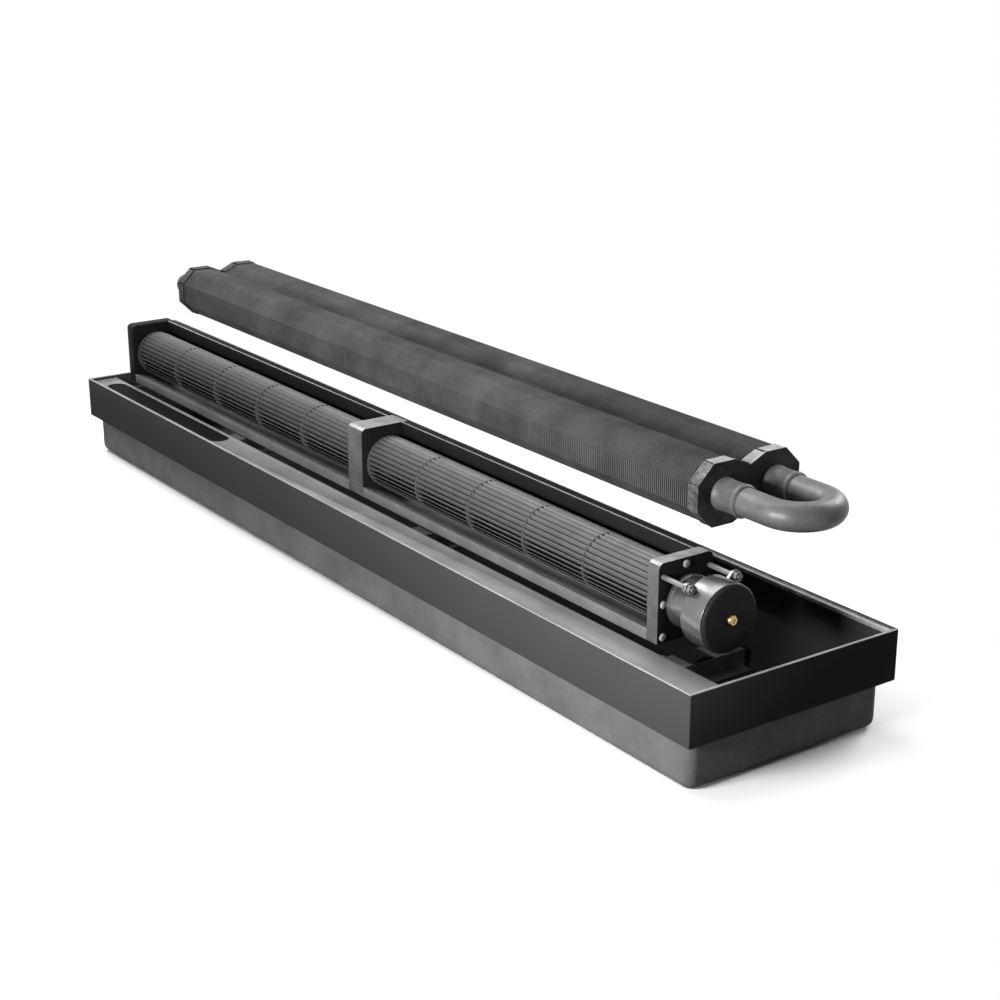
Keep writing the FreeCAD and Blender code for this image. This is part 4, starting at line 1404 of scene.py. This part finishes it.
@dataclass
class HeatExchanger:
    """The finned two-pipe exchanger with its return bend.

    Attributes:
        shop: Where its pieces are dressed and handed over.
        pitch: Distance from fin to fin, at least.
        fin: A fin's thickness.
        fold: How far a fin's middle crease stands out.
        lobe: Width of a fin's eight-sided lobe round one pipe.
        valley: Depth of the valley between the two lobes.
        pipe: A pipe's outer radius.
        pipe_wall: Its wall.
        plate: Thickness of the end plates.
        rim: How far their outline stands off the fins.
        slit: Half the width of the slits in their flanges.
        thread: Outer radius of the connections' thread.
        thread_depth: Its depth.
        thread_pitch: Distance from turn to turn.
        thread_length: Its length, up to the hexagon.
        nipple_bore: Radius of the connections' bore.
        flats: Half the width across the flats of their hexagon.
    """

    shop: Workshop
    pitch: float = 0.0023
    fin: float = 0.0006
    fold: float = 0.002
    lobe: float = 0.047
    valley: float = 0.007
    pipe: float = 0.011
    pipe_wall: float = 0.001
    plate: float = 0.001
    rim: float = 0.0012
    slit: float = 0.0011
    thread: float = 0.01048
    thread_depth: float = 0.0009
    thread_pitch: float = 0.0018
    thread_length: float = 0.01267
    nipple_bore: float = 0.008
    flats: float = 0.013

    def __post_init__(self) -> None:
        """Reads from the frame where the two pipes lie, across and up."""
        front, rear = middle("front_nipple"), middle("rear_nipple")
        self.front_y, self.rear_y = front.y, rear.y
        self.middle_y = (self.front_y + self.rear_y) / 2
        self.z = front.z

    def build(self) -> None:
        """Builds every piece of the exchanger."""
        self.fins()
        self.end_plates()
        self.pipes()
        self.sockets()
        self.nipples()
        self.vent()

    def fins(self) -> None:
        """Builds one fin from a thin block and sets it in a row."""
        low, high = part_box("fin_stack")
        half = self.lobe / 2
        flat = half * EIGHTH
        fin = block("fin_row", low, (low.x + self.fin, high.y, high.z))
        with editing(fin):
            for y in (self.front_y + flat, self.middle_y, self.rear_y - flat):
                pick_all()
                bpy.ops.mesh.bisect(plane_co=(low.x, y, self.z), plane_no=(0.0, 1.0, 0.0))
            pick(fin, Part.VERT, lambda p: abs(p.y - self.middle_y) < NEAR)
            bpy.ops.transform.resize(
                value=(1.0, 1.0, 1.0 - self.valley / half),
                center_override=(low.x, self.middle_y, self.z),
            )
            pick(
                fin, Part.EDGE,
                lambda a, b: abs(a.x - b.x) > self.fin / 2
                and (abs(a.y - low.y) < NEAR or abs(a.y - high.y) < NEAR),
            )
            bpy.ops.mesh.bevel(offset=half - flat, segments=1, affect="EDGES")
            pick(fin, Part.VERT, lambda p: abs(p.y - self.middle_y) < NEAR)
            bpy.ops.transform.translate(value=(self.fold, 0.0, 0.0))
            face_outwards()
        row = high.x - low.x - self.fin - self.fold
        count = int(row / self.pitch) + 1
        step = row / (count - 1)
        modify(
            fin, "ARRAY", count=count, use_relative_offset=False, use_constant_offset=True,
            constant_offset_displace=(step, 0.0, 0.0),
        )
        self.shop.keep(fin, "fin_stack")

    def lobe_corners(self, grow: float) -> list[tuple[float, float]]:
        """Lists the corners of the outline round both lobes, from the front.

        Args:
            grow: How far the outline stands off the fins.

        Returns:
            The places of the corners across and up.
        """
        half = self.lobe / 2 + grow
        flat = half * EIGHTH
        dip = self.lobe / 2 - self.valley + grow
        upper = [
            (self.front_y - half, flat),
            (self.front_y - flat, half),
            (self.front_y + flat, half),
            (self.middle_y, dip),
            (self.rear_y - flat, half),
            (self.rear_y + flat, half),
            (self.rear_y + half, flat),
        ]
        return [(y, self.z + z) for y, z in upper] + [(y, self.z - z) for y, z in upper]

    def end_plates(self) -> None:
        """Finishes the end plates and slits their flanges into tabs at every corner."""
        for side, inward in (("left", 1), ("right", -1)):
            node = f"exchanger_{side}_plate"
            low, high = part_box(node)
            plate = taken_up(node, f"{node}_tabbed")
            web, past = self.plate * 1.2, 0.001
            x0, x1 = (low.x + web, high.x + past) if inward > 0 else (low.x - past, high.x - web)
            slits = []
            for y, z in self.lobe_corners(self.rim):
                corner = (x0, y - self.slit, z - self.slit)
                slits.append(block("slit", corner, (x1, y + self.slit, z + self.slit)))
            cut(plate, slits)
            soften(plate, width=0.0002, segments=1, angle=25.0)
            self.shop.keep(plate, node)
            # On the right plate only, the flange's sides are painted lighter than the web as if lit,
            # and its top flats are painted light as a highlight.
            if inward < 0:
                self.shop.line(plate, "flange_grey", lambda c, n: abs(n.x) < 0.3)
                self.shop.line(plate, "tab_steel", lambda c, n: abs(n.x) < 0.3 and n.z > 0.9)

    def pipes(self) -> None:
        """Builds the tube: one pipe, the half turn of the bend and the other pipe."""
        low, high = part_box("pipe_run")
        turn_x = high.x - self.pipe - (self.rear_y - self.front_y) / 2
        tube = ring("pipe_and_bend", Vector((low.x, self.front_y, self.z)), self.pipe, 48)
        with editing(tube, Part.EDGE):
            draw_out((turn_x - low.x, 0.0, 0.0))
            bpy.ops.mesh.spin(
                steps=24, angle=math.pi, center=(turn_x, self.middle_y, self.z), axis=(0.0, 0.0, -1.0)
            )
            draw_out((low.x - turn_x, 0.0, 0.0))
            merge()
        modify(tube, "SOLIDIFY", thickness=self.pipe_wall, offset=-1.0)
        self.shop.keep_smooth(tube, "pipe_run")

    def sockets(self) -> None:
        """Builds the two sockets with rolled ends."""
        low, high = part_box("pipe_sockets")
        length = high.x - low.x
        outer = (high.z - low.z) / 2
        body = outer - 0.0007
        profile = [
            (0.0, self.pipe), (0.0, outer - 0.0006), (0.0006, outer), (0.0022, outer),
            (0.0032, body), (length - 0.0045, body), (length - 0.0036, outer - 0.0001),
            (length - 0.0024, outer), (length - 0.0012, outer - 0.0001), (length, body - 0.0006),
            (length, self.pipe), (0.0, self.pipe),
        ]
        sleeves = [
            turned("sleeve", (low.x, y, self.z), profile, hollow=True)
            for y in (self.front_y, self.rear_y)
        ]
        self.shop.keep_smooth(joined("pipe_socket_sleeves", sleeves), "pipe_sockets")

    def nipples(self) -> None:
        """Builds the two connections: a hexagon and a male thread with its rings."""
        bore, root = self.nipple_bore, self.thread - self.thread_depth
        lead, hexagon_at = 0.0012, self.thread_length
        stem: list[Station] = [(0.0, bore), (0.0, root), (lead, self.thread)]
        x = lead
        while x + self.thread_pitch < hexagon_at - 0.0014:
            stem += [(x + 0.0005, self.thread), (x + 0.0009, root), (x + 0.0014, self.thread)]
            x += self.thread_pitch
        stem += [(hexagon_at + 0.0004, root), (hexagon_at + 0.0004, bore), (0.0, bore)]
        corner = self.flats / math.cos(math.radians(30))
        face, chamfer, seat = self.flats - 0.0006, 0.0007, hexagon_at + 0.0024
        for node in ("front_nipple", "rear_nipple"):
            low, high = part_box(node)
            centre = middle(node)
            place = (low.x, centre.y, centre.z)
            length = high.x - low.x
            head = [
                (hexagon_at, bore), (hexagon_at, face), (hexagon_at + chamfer, corner),
                (length - chamfer, corner), (length, face), (length, self.pipe), (seat, self.pipe),
                (seat, bore), (hexagon_at, bore),
            ]
            hexagon = turned("hexagon", place, head, hollow=True, sides=6)
            threaded = turned("stem", place, stem, hollow=True, sides=44)
            self.shop.keep_smooth(joined(f"{node}_turned", [hexagon, threaded]), node, 30.0)

    def vent(self) -> None:
        """Finishes the air vent's body and its slotted screw."""
        self.shop.rounded("vent_body", width=0.0004, angle=50.0)
        self.shop.rounded("vent_screw", width=0.0003, angle=50.0)


# The studio


@dataclass(frozen=True)
class Lamp:
    """A soft rectangular lamp that looks at a point.

    Attributes:
        name: Its name.
        place: Where it hangs.
        target: The point that it looks at.
        size: Its width and height.
        power: Its power in watts.
    """

    name: str
    place: Place
    target: Place
    size: tuple[float, float]
    power: float

    def build(self) -> None:
        """Hangs the lamp."""
        deselect()
        bpy.ops.object.light_add(type="AREA", location=self.place)
        lamp = bpy.context.active_object
        lamp.name = self.name
        lamp.data.shape = "RECTANGLE"
        lamp.data.size, lamp.data.size_y = self.size
        lamp.data.energy = self.power
        aim = Vector(self.target) - Vector(self.place)
        lamp.rotation_mode = "QUATERNION"
        lamp.rotation_quaternion = aim.to_track_quat("-Z", "Y")


@dataclass
class Studio:
    """The floor, the lamps, the white surround and the camera.

    Attributes:
        camera_place: Where the camera stands.
        camera_aim: The direction that it looks in.
        lens: Its focal length in millimetres.
        surround: How strongly the surround lights the object.
        floor_seen: How pale the floor is where it is seen.
        floor_lights: How pale it is where it only lights the object.
        near: Distance from the middle at which the floor starts to fade to white.
        far: Distance at which it is white.
        floor_side: The floor's length and width.
        floor_gap: How far the floor lies below the object.
        squeeze: How much shorter a distance counts along the trough.
        lamps: The lamps.
    """

    camera_place: Place = (1.3587, -0.8636, 0.6091)
    camera_aim: Place = (-0.7730, 0.5458, -0.3232)
    lens: float = 66.93
    surround: float = 0.085
    floor_seen: float = 0.97
    floor_lights: float = 0.08
    near: float = 0.27
    far: float = 0.38
    floor_side: float = 60.0
    floor_gap: float = 0.0002
    squeeze: float = 0.55
    lamps: tuple[Lamp, ...] = (
        Lamp("key_lamp", (-0.9, -0.25, 1.05), (-0.3, 0.0, 0.12), (0.9, 0.7), 17.0),
        Lamp("corner_lamp", (0.47, -0.66, 0.28), (0.42, -0.1, 0.05), (0.25, 0.2), 8.0),
        Lamp("top_lamp", (-0.45, 0.1, 1.8), (-0.15, 0.0, 0.1), (1.4, 1.0), 16.0),
        Lamp("back_lamp", (0.15, 1.2, 0.9), (-0.1, 0.0, 0.1), (0.7, 0.6), 17.0),
    )

    def build(self) -> None:
        """Builds the studio round the object."""
        scene = bpy.context.scene
        scene.view_settings.view_transform = "Standard"
        self.world(scene)
        self.floor()
        for lamp in self.lamps:
            lamp.build()
        self.camera(scene)

    def seen_rays(self, bench: Bench) -> bpy.types.NodeSocket:
        """Adds the switch that is 1 for rays from the camera, a mirror or glass.

        Args:
            bench: The tree to work on.

        Returns:
            The switch.
        """
        rays = bench.add("ShaderNodeLightPath")
        seen = bench.sum_up("MAXIMUM", rays.outputs["Is Camera Ray"], rays.outputs["Is Glossy Ray"])
        return bench.sum_up("MAXIMUM", seen, rays.outputs["Is Transmission Ray"])

    def world(self, scene: bpy.types.Scene) -> None:
        """Makes the surround white where it is seen and dim where it lights.

        Args:
            scene: The scene to light.
        """
        world = bpy.data.worlds.new("studio")
        scene.world = world
        bench = Bench.cleared(world)
        limits = {0: self.seen_rays(bench), 3: self.surround, 4: 1.0}
        strength = bench.add("ShaderNodeMapRange", limits).outputs[0]
        glow = {"Color": (1.0, 1.0, 1.0, 1.0), "Strength": strength}
        background = bench.add("ShaderNodeBackground", glow)
        bench.add("ShaderNodeOutputWorld", {"Surface": background.outputs[0]})

    def floor(self) -> None:
        """Lays the pale floor, which keeps the object's shadow near it."""
        deselect()
        bpy.ops.mesh.primitive_plane_add(size=self.floor_side, location=(0.0, 0.0, -self.floor_gap))
        floor = named("studio_floor")
        material = bpy.data.materials.new("studio_floor")
        bench = Bench.cleared(material)

        def plain(level: float) -> bpy.types.NodeSocket:
            """Adds an even matt grey of the given level."""
            return bench.add("ShaderNodeBsdfDiffuse", {"Color": (level,) * 3 + (1.0,)}).outputs[0]

        place = bench.add("ShaderNodeTexCoord").outputs["Object"]
        drawn = bench.stretched(place, (self.squeeze, 1.0, 1.0))
        length = bench.add("ShaderNodeVectorMath", {0: drawn}, operation="LENGTH")
        away = bench.spread(length.outputs["Value"], self.near, self.far)
        white = bench.add("ShaderNodeEmission").outputs[0]
        seen = bench.add("ShaderNodeMixShader", {0: away, 1: plain(self.floor_seen), 2: white})
        layers = {0: self.seen_rays(bench), 1: plain(self.floor_lights), 2: seen.outputs[0]}
        mix = bench.add("ShaderNodeMixShader", layers)
        bench.add("ShaderNodeOutputMaterial", {"Surface": mix.outputs[0]})
        floor.data.materials.append(material)

    def camera(self, scene: bpy.types.Scene) -> None:
        """Sets the camera where the photograph was taken from.

        Args:
            scene: The scene that it looks at.
        """
        deselect()
        bpy.ops.object.camera_add(location=self.camera_place)
        camera = bpy.context.active_object
        camera.name = "photo_camera"
        camera.data.lens = self.lens
        camera.data.sensor_width = 36.0
        camera.data.clip_start = 0.01
        camera.rotation_mode = "QUATERNION"
        camera.rotation_quaternion = Vector(self.camera_aim).to_track_quat("-Z", "Y")
        scene.camera = camera


def main() -> None:
    """Builds the convector in order, then its studio."""
    logging.basicConfig(level=logging.INFO, format="%(message)s")
    deselect()
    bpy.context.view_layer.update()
    shop = Workshop()
    for assembly in (Trough(shop), FanModule(shop), FanRotor(shop), HeatExchanger(shop)):
        assembly.build()
        log.info("%s built", type(assembly).__name__)
    shop.dress_frame()
    Studio().build()


if __name__ == "__main__":
    main()
